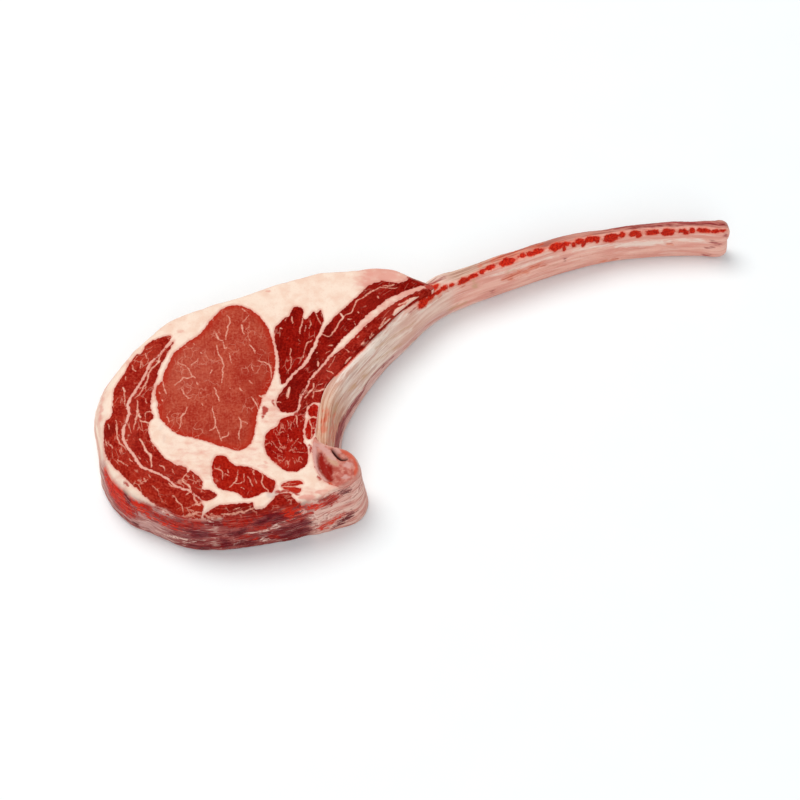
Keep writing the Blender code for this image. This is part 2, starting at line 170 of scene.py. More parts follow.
# White fat and veins on the red pieces
EYE_VEINS = lines("""
    0.55: -138.5,34 -136.4,31 -137,25 -137.7,19 -138.7,12.5; 0.7: -146,18 -144.4,15.6 -142.6,13.2
    -140.2,11.2; 0.4: -140.2,11.2 -139.4,8 -138.6,5.2 -137.2,6.6; 0.6: -144.5,8 -143.3,3.5 -141.2,-2.5
    -139.4,-6.5 -138.7,-12 -139.2,-18 -139.8,-24; 0.5: -170.5,-6.3 -168,-8.7 -165,-9.6 -162.8,-12.6
    -161,-17 -159.8,-18.6; 0.6: -157.6,-20 -159.8,-18.6 -162.5,-19.8 -165.5,-20.3 -167.2,-22.6 -172,-26;
    0.35: -156.6,-3.5 -157.2,-5 -159,-6.3 -161.6,-9; 0.45: -147.2,-13.5 -147.4,-16.8; 0.4: -156,-23.5
    -156.2,-26.2; 0.45: -166.3,-29 -165.2,-32.5 -162.4,-36.6 -160.2,-38 -158.6,-36.2; 0.6: -144.5,-28.8
    -142.6,-32.6 -141.3,-37 -140.5,-40.5; 0.5: -162.4,-44.6 -163,-47.5 -165.2,-52 -165.6,-58 -166.4,-62.5;
    0.35: -173.6,-48.5 -175.2,-52 -174.4,-55.6 -172.6,-58; 0.55: -144.6,-43.6 -144.2,-48 -142.3,-55
    -142.4,-60 -144.2,-63 -146.2,-64.4; 0.4: -142.4,-60 -140.6,-63 -139.4,-67 -137.4,-72.4; 0.35:
    -152.3,-41.6 -151.2,-43.8; 0.5: -153,-32 -152.7,-33.4; 0.45: -123,34 -124.8,31 -127,28; 0.65:
    -127.7,25.8 -127,22 -126,17.6; 0.3: -124.6,21.4 -122.6,24.8; 0.4: -122.2,13.6 -121.2,11.6; 0.5:
    -121.6,8.2 -119.4,5.8 -116.9,1.4; 0.4: -135.1,1.2 -134.5,-3 -132.3,-8.4; 0.4: -119.4,-8.6 -117.8,-14;
    0.6: -115,-5 -112.6,-6.8 -109.4,-7.2 -106,-11 -104.9,-16 -104.8,-20; 0.35: -120.4,-22.6 -118,-25.8;
    0.4: -127.4,-28.6 -125.2,-31.2; 0.6: -118.6,-36.2 -116.2,-40 -114.2,-44 -112.6,-49; 0.4: -124.2,-42.4
    -122.8,-44.8; 0.5: -126.2,-53 -124.7,-56 -124.8,-63 -126.2,-67.6 -124.6,-71.6; 0.35: -124.7,-56
    -121.6,-57.2 -120.8,-58.8; 0.45: -133.4,-64.4 -133,-68.4 -136,-69 -138.4,-70.6; 0.35: -133.4,-28.4
    -133,-30; 0.6: -180.6,-21 -180,-25.4 -178.4,-30 -176.6,-34; 0.7: -179.9,-37.4 -179.2,-38.6; 0.4:
    -182.4,-31 -181.6,-32.6; 0.4: -127.8,40 -126,38.4; 0.4: -148.8,31 -148,29.8; 0.5: -147.6,18.8
    -147,17.4; 0.5: -160.8,9.8 -160,8.6; 0.5: -155,2.4 -154.2,1; 1.6: -109.5,-34 -110.5,-38; 0.8:
    -113,-35.4 -110,-37
""")
CAP_VEINS = lines("""
    0.7: -176,13 -177.8,8.5 -180.8,4 -183.4,0.5 -184.6,-3 -184.2,-6 -187,-10.5 -190,-15 -191,-20 -193.2,-28
    -195.6,-33 -198,-37.6; 0.9: -186.4,-5 -183.6,-5.6 -184.2,-7; 0.5: -194,1 -193.2,-2 -192.4,-3.6; 0.5:
    -202,-9 -201.4,-12 -199,-14.6; 0.4: -196.4,-6 -196.6,-12; 0.9: -207.6,-27.4 -206.4,-30 -205.6,-32;
    0.45: -206,-31 -205.4,-37 -205,-42 -203.6,-44.4; 0.65: -196.6,-39 -195.8,-44 -195.8,-50 -196.4,-56
    -197,-63; 1.3: -194.4,-49.6 -194,-53.6; 0.75: -194,-55.4 -191.4,-56.8 -188,-57 -185.4,-56.4; 0.65:
    -190.4,-49.4 -188.4,-48.6 -185.4,-49.2; 0.5: -190.6,-49.4 -190.2,-55; 0.6: -210.4,-56 -209,-62
    -208.3,-68 -206.8,-72.4 -203.6,-76.4 -201,-80; 1.05: -193.4,-71 -190.6,-75.4 -188,-80 -185,-83.6
    -183.6,-87 -183.2,-93.6; 0.6: -178.2,-92 -175.4,-93.2 -174,-96; 0.65: -171.4,-105.8 -169,-108.8
    -165,-109.6 -161,-110.4; 0.8: -159.2,-98.4 -161.6,-102.6 -160.2,-105.6 -157.6,-108 -156.2,-112
    -154,-115.4 -152.2,-118.6 -150.4,-122; 0.5: -156,-113 -159.4,-115.8; 0.7: -151.6,-121.6 -149.4,-122.6;
    0.45: -154,-122.2 -150.4,-122 -147,-120.6 -143,-120.6; 0.45: -168,-115.4 -164.6,-118.6 -161.5,-121.4
    -160,-126; 0.5: -165,-125.6 -158,-127 -150.4,-126.6; 0.35: -206,-19 -205.6,-22; 0.4: -214.4,-70
    -212.6,-74 -210.6,-77; 0.35: -216.8,-67 -214.6,-74; 0.4: -206.6,-86 -203.4,-89.6 -199.4,-92; 0.4:
    -198.8,-86 -196.2,-88.6; 0.5: -187.8,-101.4 -186.4,-104; 0.3: -182,-107 -177.4,-111.6; 0.35: -191,-38
    -189.8,-41; 0.35: -192.6,-84 -191,-87.4; 0.4: -184.6,-99.8 -183.6,-101.2; 0.35: -216,-57 -213.4,-61;
    0.3: -155,-100 -153.6,-104 -154.6,-107; 0.3: -170,-95 -168,-99
""")
COMPLEXUS_VEINS = lines("""
    0.3: -87.6,-51.6 -86.8,-56 -85.8,-61; 0.4: -93,-55.6 -92,-60; 0.1: -101,-66 -99,-71 -97,-75.6; 0.1:
    -103.6,-72 -100.6,-76.6 -96.4,-80.4; 0.1: -103,-80 -98.6,-82.4 -95,-83; 0.1: -97.8,-90.6 -95.4,-88.2
    -93.2,-85; 0.1: -91.4,-94 -91.6,-89.4; 0.1: -86.6,-91 -88.6,-86.4; 0.1: -80.6,-82 -84.6,-81
    -88.6,-81.4; 0.1: -85.6,-69.6 -88,-73.4 -90.2,-77; 0.1: -92.4,-66 -92,-71 -92.6,-75; 0.4: -85.6,-72.6
    -83.2,-74.4
""")
MULTIFIDUS_VEINS = lines("""
    0.65: -109.2,-98 -108.1,-101 -108.3,-105 -107.8,-108.6 -105.6,-111.4 -102.8,-115; 0.45: -141.4,-94.4
    -137,-96.4 -135,-99 -134.8,-103.4; 0.4: -132.2,-95.6 -130.8,-98.4; 0.35: -133,-99 -130.6,-101; 0.45:
    -125.6,-95.4 -125.2,-100 -126,-104 -128,-107 -130.4,-109.8; 0.4: -128,-106 -124.4,-106.6 -122,-105;
    0.35: -115,-96.6 -114,-100; 0.35: -118,-101 -116.4,-105 -114.8,-109; 0.3: -120.6,-99 -120.8,-105; 0.35:
    -113.4,-103 -112.2,-107.4; 0.3: -123,-109.6 -120,-111
""")
SPINE_VEINS = lines("""
    0.6: -96,-108.6 -91,-108.8 -86,-108.4 -82,-108.4
""")
WEDGE_VEINS = lines("""
    0.55: -85,35 -85.3,30 -86.4,24 -86.5,18.4; 0.35: -88,14 -86.4,11.4; 0.45: -80,31 -79.3,26.6 -79.9,23;
    0.4: -92.5,5.4 -92.9,0.5 -92.2,-5 -92.3,-9 -93.2,-13.6; 0.85: -100.4,24 -98.6,23.6; 0.5: -92.8,34
    -93,30.6 -92,28; 0.5: -77.6,14 -79.8,11.6 -81.8,8 -83,3 -84.2,-2.6; 0.35: -76,36.6 -74.5,32.6
    -71.6,26.6; 0.35: -72,38 -71,33; 0.3: -96,33 -97,29; 0.3: -82.4,26 -82.8,20
""")
RIB_MUSCLE_VEINS = lines("""
    0.65: -71.6,17.8 -69,17 -66,16.6 -63.6,18.6 -61.8,22.4 -60,26.4 -58,31 -55.4,34.6 -51.6,37.5 -49.4,41
    -47.4,46 -43.4,49.6 -38,54.4 -33,58.6 -30,60.2 -25,60.7 -18.6,61.2; 1.3: -58.6,36.4 -56.8,33.6
    -58,30.6; 0.45: -29,61.9 -24,62.6 -20,64; 0.6: -75,1 -74,2.4; 0.35: -68.6,1.2 -65.6,4; 0.35: -67.4,8
    -63,8; 0.55: -46.8,38.2 -45.4,36.4; 0.5: -53.4,31.2 -50.6,31.8; 0.35: -47.4,26.6 -48.4,30; 0.6:
    -32.2,52.2 -31.4,50.6; 1.1: -74,-6 -73,-10; 0.35: -94,-32 -93.6,-37; 0.35: -82.4,-29 -84.4,-35
    -85.2,-39.6; 0.45: -101.6,-40 -98,-40.8; 0.35: -61.4,-0.6 -62,-4 -64,-8 -65.6,-11.4; 0.45: -67.4,-13.6
    -64.4,-14.4 -62.4,-16.4; 0.4: -74,-26 -70,-24; 0.5: -26.4,34 -28,30 -30,26; 3.4: -21,37 -17,41.4
    -12.6,45.6; 2.6: -12.6,45.6 -8,50 -3.6,54; 1: -18,45.6 -11.6,49.6 -7,53; 1.5: -30.4,23.4 -26.6,28.4
    -22.6,33.4; 1: -37.6,14.4 -34.6,18.4; 0.9: -54,-7 -50,-1.6; 0.7: -44,8.6 -41.4,11.4; 0.9: -76,-24
    -76.8,-29.6 -79.6,-33.6 -81.6,-37; 0.8: -75,-31 -71.6,-30.4 -68,-28; 0.7: -88,-50 -86.6,-53 -86.8,-58;
    1.2: -92.6,-27 -92.8,-31 -92.8,-36; 0.5: -39.4,25.2 -40.6,23.8; 0.35: -36,19 -38.4,16; 0.4: -46,15
    -44.6,16.4; 0.35: -55,6 -52.4,2; 0.35: -75.4,-31 -76,-37
""")
EDGE_VEINS = lines("""
    0.9: -79,-53 -75.6,-52.6 -72,-53; 0.6: -79,-54.4 -77.4,-57.4 -76.2,-61 -76.4,-66 -77,-70; 0.5:
    -76,-61.2 -72.8,-61.8
""")
FRONT_VEINS = lines("""
    2: -145,-132.4 -141,-132 -135.6,-131; 0.7: -147,-127.6 -143,-129.6 -136,-129.2; 0.55: -136,-129.2
    -131,-128.2 -124,-127.9 -118.6,-126.8 -113.4,-125; 0.35: -143,-127.6 -139.6,-129; 0.4: -127,-126.4
    -122,-125.4
""")
# Red meat that shows in the fat
FAT_MEAT = lines("""
    2: -109.6,-44.4 -108.8,-47 -109.6,-50; 0.8: -110,-50 -110,-54; 1.7: -178,-119.4 -170,-124 -162,-127.4
    -154,-130.2 -147,-131.6; 0.8: -103.6,-39 -102.4,-43; 1: -99,-113.6 -91,-112 -84,-115.4; 0.8:
    -190,-115.6 -184,-118.4 -178,-121.8 -170,-125.8 -162,-128.8 -154,-130.8; 0.7: -187,-115.6 -182,-118.2
    -178.6,-119.6; 0.9: -202.4,-101 -198,-104.2; 0.8: -71.6,-100 -69.4,-104.4; 2.2: -88,-49.6 -84.6,-50.8
    -81.6,-51.2; 0.8: -217.4,-68 -216.6,-72; 0.6: -98,-91 -96.6,-92; 1.2: -100,-106 -101.6,-112; 0.9:
    -77.4,-74.6 -77,-78 -77.4,-82; 1: -34,60.4 -27,62.4 -20,63.4 -12,64.2; 2.2: -10,71.4 -4,68.6 2,66.4
    7,63; 4.2: 2.6,64.6 6.6,63.4 9.4,61 6,58.6
""")


# --------------------------------------------------------------------- plane geometry
def columns(*values):
    """Arrays of numbers set side by side as the columns of points."""
    return np.stack(values, axis=-1)


def run_along(path):
    """Length in plan from the first point of a path to each of its points."""
    return np.concatenate([[0], np.cumsum(np.linalg.norm(np.diff(path[:, :2], axis=0), axis=1))])


def read_at(at, length, values):
    """Rows of values, read at the given places of a length."""
    return columns(*(np.interp(at, length, column) for column in values.T))


def smooth_curve(points, steps, closed):
    """Points along a Catmull-Rom curve through the given rows of numbers."""
    given = np.array(points, dtype=float)
    given = np.vstack([given[-1:], given, given[:2]] if closed else [given[:1], given, given[-1:]])
    p0, p1, p2, p3 = (given[k:len(given) - 3 + k, None] for k in range(4))
    t = np.arange(steps)[:, None] / steps
    curve = 0.5 * (2 * p1 + (p2 - p0) * t + (2 * p0 - 5 * p1 + 4 * p2 - p3) * t ** 2
                   + (3 * p1 - p0 - 3 * p2 + p3) * t ** 3)
    curve = curve.reshape(-1, given.shape[1])
    return curve if closed else np.vstack([curve, given[-1]])


def spaced(points, step, closed):
    """The smooth curve through the points, read at even steps along its plan length."""
    fine = smooth_curve(points, CURVE_STEPS, closed)
    if closed:
        fine = np.vstack([fine, fine[:1]])
    length = run_along(fine)
    count = max(3, round(length[-1] / step))
    even = read_at(np.linspace(0, length[-1], count + 1), length, fine)
    return even[:-1] if closed else even


def ease(value, low, high):
    """Smoothly from 0 to 1 as a value goes from low to high."""
    t = np.clip((value - low) / (high - low), 0, 1)
    return t * t * (3 - 2 * t)


def lumps(x, y, size, seed):
    """Smooth random relief from -1 to 1 with bumps about the given size across."""
    heights = np.random.default_rng(seed).uniform(-1, 1, (LUMP_TABLE, LUMP_TABLE))
    x, y = np.asarray(x) / size, np.asarray(y) / size
    i, j = np.floor(x).astype(int), np.floor(y).astype(int)
    right, up = ease(x - i, 0, 1), ease(y - j, 0, 1)

    def row(j):
        left_height, right_height = (heights[k % LUMP_TABLE, j % LUMP_TABLE] for k in (i, i + 1))
        return left_height * (1 - right) + right_height * right

    return row(j) * (1 - up) + row(j + 1) * up


def relief(x, y, layers):
    """Lumps on lumps: of each layer the height, the size, the seed, and the stretch along x."""
    return sum(height * lumps(x / (stretch[0] if stretch else 1), y, size, seed)
               for height, size, seed, *stretch in layers)


def unit(vectors):
    return vectors / np.linalg.norm(vectors, axis=-1)[..., None]


def right_of(directions):
    """Directions turned a quarter to the right."""
    return columns(directions[..., 1], -directions[..., 0])


def normals_of(loops):
    """Outward unit normals of closed anticlockwise outlines of plan points."""
    return right_of(unit(np.roll(loops, -1, axis=-2) - np.roll(loops, 1, axis=-2)))


def turned(x, y, degrees):
    """Plan coordinates along and across a direction."""
    turn = math.radians(degrees)
    return x * math.cos(turn) + y * math.sin(turn), y * math.cos(turn) - x * math.sin(turn)


def tree_of(points):
    """A search tree over plan points."""
    tree = KDTree(len(points))
    for k, (x, y) in enumerate(points):
        tree.insert((x, y, 0), k)
    tree.balance()
    return tree


def nearest(tree, points):
    """Index of the tree's point nearest to each plan point, and the distance to it."""
    found = [tree.find((x, y, 0)) for x, y in points]
    return np.array([f[1] for f in found]), np.array([f[2] for f in found])


def inside(points, loop):
    """True for the points within a closed loop."""
    x, y = points[:, 0], points[:, 1]
    result = np.zeros(len(points), dtype=bool)
    near = np.flatnonzero((x > loop[:, 0].min()) & (x < loop[:, 0].max())
                          & (y > loop[:, 1].min()) & (y < loop[:, 1].max()))
    px, py = x[near], y[near]
    hit = np.zeros(len(near), dtype=bool)
    for (x0, y0), (x1, y1) in zip(loop, np.roll(loop, -1, axis=0)):
        if y0 != y1:
            crosses = (y0 > py) != (y1 > py)
            hit ^= crosses & (px < x0 + (py - y0) * (x1 - x0) / (y1 - y0))
    result[near] = hit
    return result


def line_depth(points, marks):
    """How deep each point lies inside the nearest of some tapered lines, in mm; negative outside."""
    best = np.full(len(points), -REACH)
    for half_width, route in marks:
        path = smooth_curve(route, LINE_STEPS, False) if len(route) > 2 else np.array(route)
        low, high = path.min(axis=0) - REACH, path.max(axis=0) + REACH
        near = np.flatnonzero(np.all((points > low) & (points < high), axis=1))
        p = points[near]
        depth = np.full(len(near), -REACH)
        for k, (a, b) in enumerate(zip(path, path[1:])):
            ab = b - a
            t = np.clip(((p - a) @ ab) / max(ab @ ab, 1e-9), 0, 1)
            from_middle = 2 * (k + t) / (len(path) - 1) - 1
            taper = half_width * (1 - LINE_TAPER * from_middle ** 2)
            depth = np.maximum(depth, taper - np.linalg.norm(p - a - t[:, None] * ab, axis=1))
        best[near] = np.maximum(best[near], depth)
    return best


def depths(points, *groups):
    """The line depth of several groups of marks, side by side."""
    return columns(*(line_depth(points, marks) for marks in groups))


def spots(points, places):
    """Soft round marks, 0 to 1: each place is a centre, two radii and a strength."""
    total = np.zeros(len(points))
    for x, y, radius_x, radius_y, strength in places:
        away = np.linalg.norm((points - (x, y)) / (radius_x, radius_y), axis=1)
        total = np.maximum(total, strength * (1 - ease(away, SPOT_CORE, 1.0)))
    return total


# ------------------------------------------------------------------- form of the slice
# Layers of relief: height, size, seed, and the stretch along the first direction
RIM_WOBBLE = ((0.45, 11.0, 3), (0.18, 3.5, 4))
WALL_STREAKS = ((0.45, 9.0, 11), (0.40, 1.9, 12, 9), (0.22, 1.0, 13, 5))
UNEVEN_FACE = ((0.55, 26.0, 21), (0.22, 8.0, 22), (0.07, 2.4, 23))
FLESH_FIBRES = ((0.16, 1.5, 31), (0.22, 3.6, 32))
UNEVEN_FOOT = ((0.3, 9.0, 41),)
RAGGED_X = ((0.36, 2.6, 81), (0.36, 7.0, 82))
RAGGED_Y = ((0.36, 2.6, 83), (0.36, 7.0, 84))


def sag(x):
    return TAIL_SAG * ease(np.asarray(x, dtype=float), TAIL_FROM, TAIL_TO)


class Rim:
    """The slice's outline at even steps, with its wall profile at each step."""

    def __init__(self):
        steps = spaced(SLICE_OUTLINE, RIM_STEP, True)
        plan = steps[:, :2]
        self.drop, self.width, self.flare = steps[:, 2:].T
        self.count = len(steps)
        self.along = np.arange(self.count) * RIM_STEP
        wobble = relief(self.along, 0 * self.along, RIM_WOBBLE) * ease(self.width, ROUND_WIDTH, 3.5)
        self.plan = plan + normals_of(plan) * wobble[:, None]
        self.normal = normals_of(self.plan)
        self.tree = tree_of(self.plan)
        self.profiles = np.array([self.profile(k) for k in range(self.count)])
        self.inset, self.height, self.arc = (self.profiles[:, :, k].T for k in range(3))

    def nearest(self, points):
        return nearest(self.tree, points)

    def run_to(self, point):
        """Length along the rim to the step nearest to a point."""
        return self.nearest([point])[0][0] * RIM_STEP

    def profile(self, k):
        """Wall rows at one step: inset from the outline, height, and length down from the rim."""
        drop, width, flare = self.drop[k], self.width[k], self.flare[k]
        high = THICKNESS - sag(self.plan[k, 0])
        middle = high - drop
        foot = min(FOOT_INSET, max(0.0, 0.6 * (width - SHARP_WIDTH)))
        upper = np.linspace(SHOULDER_START, 0, SHOULDER_POINTS)
        lower = np.linspace(0, 1, UPRIGHT_POINTS)[1:]
        under = np.linspace(0, math.pi / 2, FOOT_POINTS)[1:]
        bulge = WALL_BULGE * (width > SHARP_WIDTH) * np.sin(np.pi * np.minimum(lower * 1.1, 1))
        inset = [width * (1 - np.cos(upper)), bulge - flare * lower, foot * (1 - np.cos(under)) - flare]
        height = [high - drop * (1 - np.sin(upper)), middle + (FOOT_RISE - middle) * lower,
                  FOOT_RISE * (1 - np.sin(under))]
        wall = columns(np.concatenate(inset), np.concatenate(height))
        length = run_along(wall)
        at = np.linspace(0, length[-1], WALL_ROWS)
        return np.column_stack([read_at(at, length, wall), at])


def wall_points(rim):
    """The outer wall as rows of points, rim to foot, with its streaky relief."""
    fade = ease(rim.arc, 0.0, RELIEF_IN) * ease(rim.arc.max(axis=0) - rim.arc, 0.0, RELIEF_OUT)
    streaks = relief(np.broadcast_to(rim.along, rim.arc.shape), rim.arc, WALL_STREAKS)
    inset = rim.inset - fade * streaks * ease(rim.width, ROUND_WIDTH, WIDE_SHOULDER)
    return np.dstack([rim.plan - rim.normal * inset[:, :, None], rim.height])


# Hollows of the cut face: depth, softness, then the half width and the points they run through
HOLLOWS = [
    (2.4, 3.0, "2.2: -69.6,-84 -68.4,-90 -66,-96 -62.6,-102"), (1.2, 4.0, "4: -60,-96 -55,-96 -51,-97"),
    (3.2, 0.9, "0.7: -62.2,-79 -60.4,-82 -58,-85 -55.4,-87 -52.4,-86.8"),
    (-1.5, 2.2, "1.4: -59,-79 -54,-81.4 -49.6,-85 -46.6,-90 -46,-96 -46.4,-101"),
    (-0.6, 2.0, "1.2: -74,-75 -74,-88 -72,-95"), (1.4, 0.9, "0.5: -48,-103.6 -54,-108.4 -60,-111.6"),
    (0.9, 2.0, "1: -216,-95 -208,-102.6 -199,-109.4 -193,-113"),
]


def top_height(points, rim, depth, piece_at):
    """Height of the cut face at plan points: slumped shoulder, uneven flesh and hollows."""
    index, away = rim.nearest(points)
    x, y = points.T
    t = np.clip(1 - away / rim.width[index], 0, 1)
    z = THICKNESS - sag(x) - rim.drop[index] * (1 - np.sqrt(1 - t * t))
    swell = RISE[piece_at] * np.where(piece_at == 0, ease(depth, 0, FAT_SWELL), ease(depth, 0, MEAT_SWELL))
    crease = -CREASE * np.exp(-(depth / CREASE_WIDTH) ** 2)
    grain = fibre_relief(x, y, index, away, rim, piece_at) * ease(depth, 0, 2.0)
    z += ease(away, 0.3, RIM_FADE) * (relief(x, y, UNEVEN_FACE) + swell + crease + grain)
    for sink, softness, route in HOLLOWS:
        z -= sink * ease(line_depth(points, lines(route)), -softness, 0.4) * ease(away, 0.2, 1.6)
    over = z - THICKNESS
    z = np.where(over > 0, THICKNESS + SWELL_LIMIT * np.tanh(over / SWELL_LIMIT), z)
    return z, index, away


# Pieces of the slice: node, border, whether it is a closed loop, swell of its cut face
LAYERS = [
    ("eye_muscle", EYE, True, 0.5), ("cap_muscle_outer", CAP_OUTER, True, 0.25),
    ("cap_muscle_inner", CAP_INNER, True, 0.25), ("complexus_muscle", COMPLEXUS, True, 0.5),
    ("multifidus_muscle", MULTIFIDUS, True, 0.4), ("spine_muscle", SPINE_MUSCLE, True, 0.2),
    ("wedge_muscle", WEDGE, True, -0.3), ("edge_muscle", EDGE_MUSCLE, True, 0.4),
    ("rib_muscle_outer", RIB_MUSCLE_OUTER, False, -0.1), ("rib_muscle_inner", RIB_MUSCLE_INNER, False, 0.1),
    ("front_muscle", FRONT_MUSCLE, False, 0.2), ("backbone", BACKBONE, False, 0.0),
]
FAT_RISE = 0.35
NAMES = ["fat_body"] + [layer[0] for layer in LAYERS]
RISE = np.array([FAT_RISE] + [layer[3] for layer in LAYERS])
# Direction of the flesh in degrees from +X, for the pieces whose fibres run in the cut face
FIBRES = {"wedge_muscle": 78, "rib_muscle_outer": 54, "rib_muscle_inner": 54, "multifidus_muscle": 110,
          "complexus_muscle": 100, "eye_muscle": 95, "backbone": 120, "edge_muscle": 90}
RIMWARD = ("cap_muscle_outer", "cap_muscle_inner", "front_muscle", "spine_muscle")
SHORT_FIBRES, LONG_FIBRES = 2.0, 5.0


def fibre_relief(x, y, index, away, rim, piece_at):
    """Low ridges along the fibres of each muscle."""
    ridges = np.zeros(len(x))
    for number, name in enumerate(NAMES[1:], start=1):
        here = np.flatnonzero(piece_at == number)
        u, v = rim.along[index[here]], away[here]
        if name not in RIMWARD:
            u, v = turned(x[here], y[here], FIBRES[name])
        stretch = SHORT_FIBRES if name in ("eye_muscle", "backbone") else LONG_FIBRES
        ridges[here] = relief(u / stretch, v, FLESH_FIBRES)
    return ridges


class Cut:
    """One flat mesh of the slice in plan, its triangles sorted by the piece they belong to."""

    def __init__(self, outer, paths, step, seed):
        """outer is the outline; each path is its points, then its first and last place on the outline."""
        used = len(outer)
        edges = [(i, (i + 1) % used) for i in range(used)]
        self.regions = []
        for points, first, last in paths:
            ids = list(range(used, used + len(points)))
            if first is None:
                chain, region = ids + ids[:1], points
            else:
                chain = [first] + ids + [last]
                region = np.vstack([points, outer[ring_part(last, first, len(outer))]])
            edges += zip(chain, chain[1:])
            used += len(points)
            self.regions.append(region)
        border = np.vstack([outer] + [path[0] for path in paths])
        everything = np.vstack([border, scatter(outer, border, step, seed)])
        found = delaunay_2d_cdt([Vector(p) for p in everything], edges, [], 0, 1e-5, False)
        self.plan = np.array([tuple(v) for v in found[0]])
        assert len(self.plan) == len(everything), "two borders cross"
        triangles = np.array([f for f in found[2] if len(f) == 3])
        middle = self.plan[triangles].mean(axis=1)
        keep = inside(middle, outer)
        self.triangles, self.label = triangles[keep], self.piece_at(middle[keep])

    def piece_at(self, points):
        """Number of the piece that each plan point lies in; 0 is the fat."""
        number = np.zeros(len(points), dtype=int)
        for k, region in enumerate(self.regions, start=1):
            number[inside(points, region)] = k
        return number


def edges_of(triangles):
    """The three edges of each triangle, in three blocks."""
    return np.vstack([triangles[:, [0, 1]], triangles[:, [1, 2]], triangles[:, [2, 0]]])


def ring_part(start, end, count):
    """Places on a ring from start to end, the short way round."""
    forward = (end - start) % count
    turn = 1 if forward <= count - forward else -1
    return [(start + turn * k) % count for k in range(min(forward, count - forward) + 1)]


def scatter(outer, border, step, seed):
    """Jittered grid points inside the outline, not too close to any border."""
    low, high = outer.min(axis=0), outer.max(axis=0)
    x, y = np.meshgrid(np.arange(low[0], high[0], step), np.arange(low[1], high[1], step * math.sqrt(3) / 2))
    x[1::2] += step / 2
    points = columns(x.ravel(), y.ravel())
    points += np.random.default_rng(seed).uniform(-JITTER, JITTER, points.shape) * step
    points = points[inside(points, outer)]
    return points[nearest(tree_of(border), points)[1] > CLEARANCE * step]


def ragged(points, closed):
    """A border moved by a smooth random field: the small waves of cut flesh, the same for neighbours."""
    x, y = points.T
    shift = columns(relief(x, y, RAGGED_X), relief(x, y, RAGGED_Y))
    if not closed:
        along = np.arange(len(points)) * LOOP_STEP
        shift *= np.minimum(1, np.minimum(along, along[-1] - along) / END_FADE)[:, None]
    return points + shift


def held_inside(points, rim, margin):
    """Points pushed off the rim so that top and foot outlines both stay clear of them."""
    index = rim.nearest(points)[0]
    within = np.sum((rim.plan[index] - points) * rim.normal[index], axis=1)
    short = np.maximum(0, np.maximum(rim.inset[0, index], rim.inset[-1, index]) + margin - within)
    return points - rim.normal[index] * short[:, None]


def cut_path(rim, ring, border, closed):
    """A muscle's border as it is cut: its points, and its two places on the outline if it is open."""
    if closed:
        return held_inside(ragged(spaced(border, LOOP_STEP, True), True), rim, LOOP_GAP), None, None
    first, last = rim.nearest([border[0], border[-1]])[0].tolist()
    ends = [tuple(ring[first])] + border[1:-1] + [tuple(ring[last])]
    points = ragged(spaced(ends, LOOP_STEP, False), False)[1:-1]
    return held_inside(points, rim, OPEN_GAP), first, last


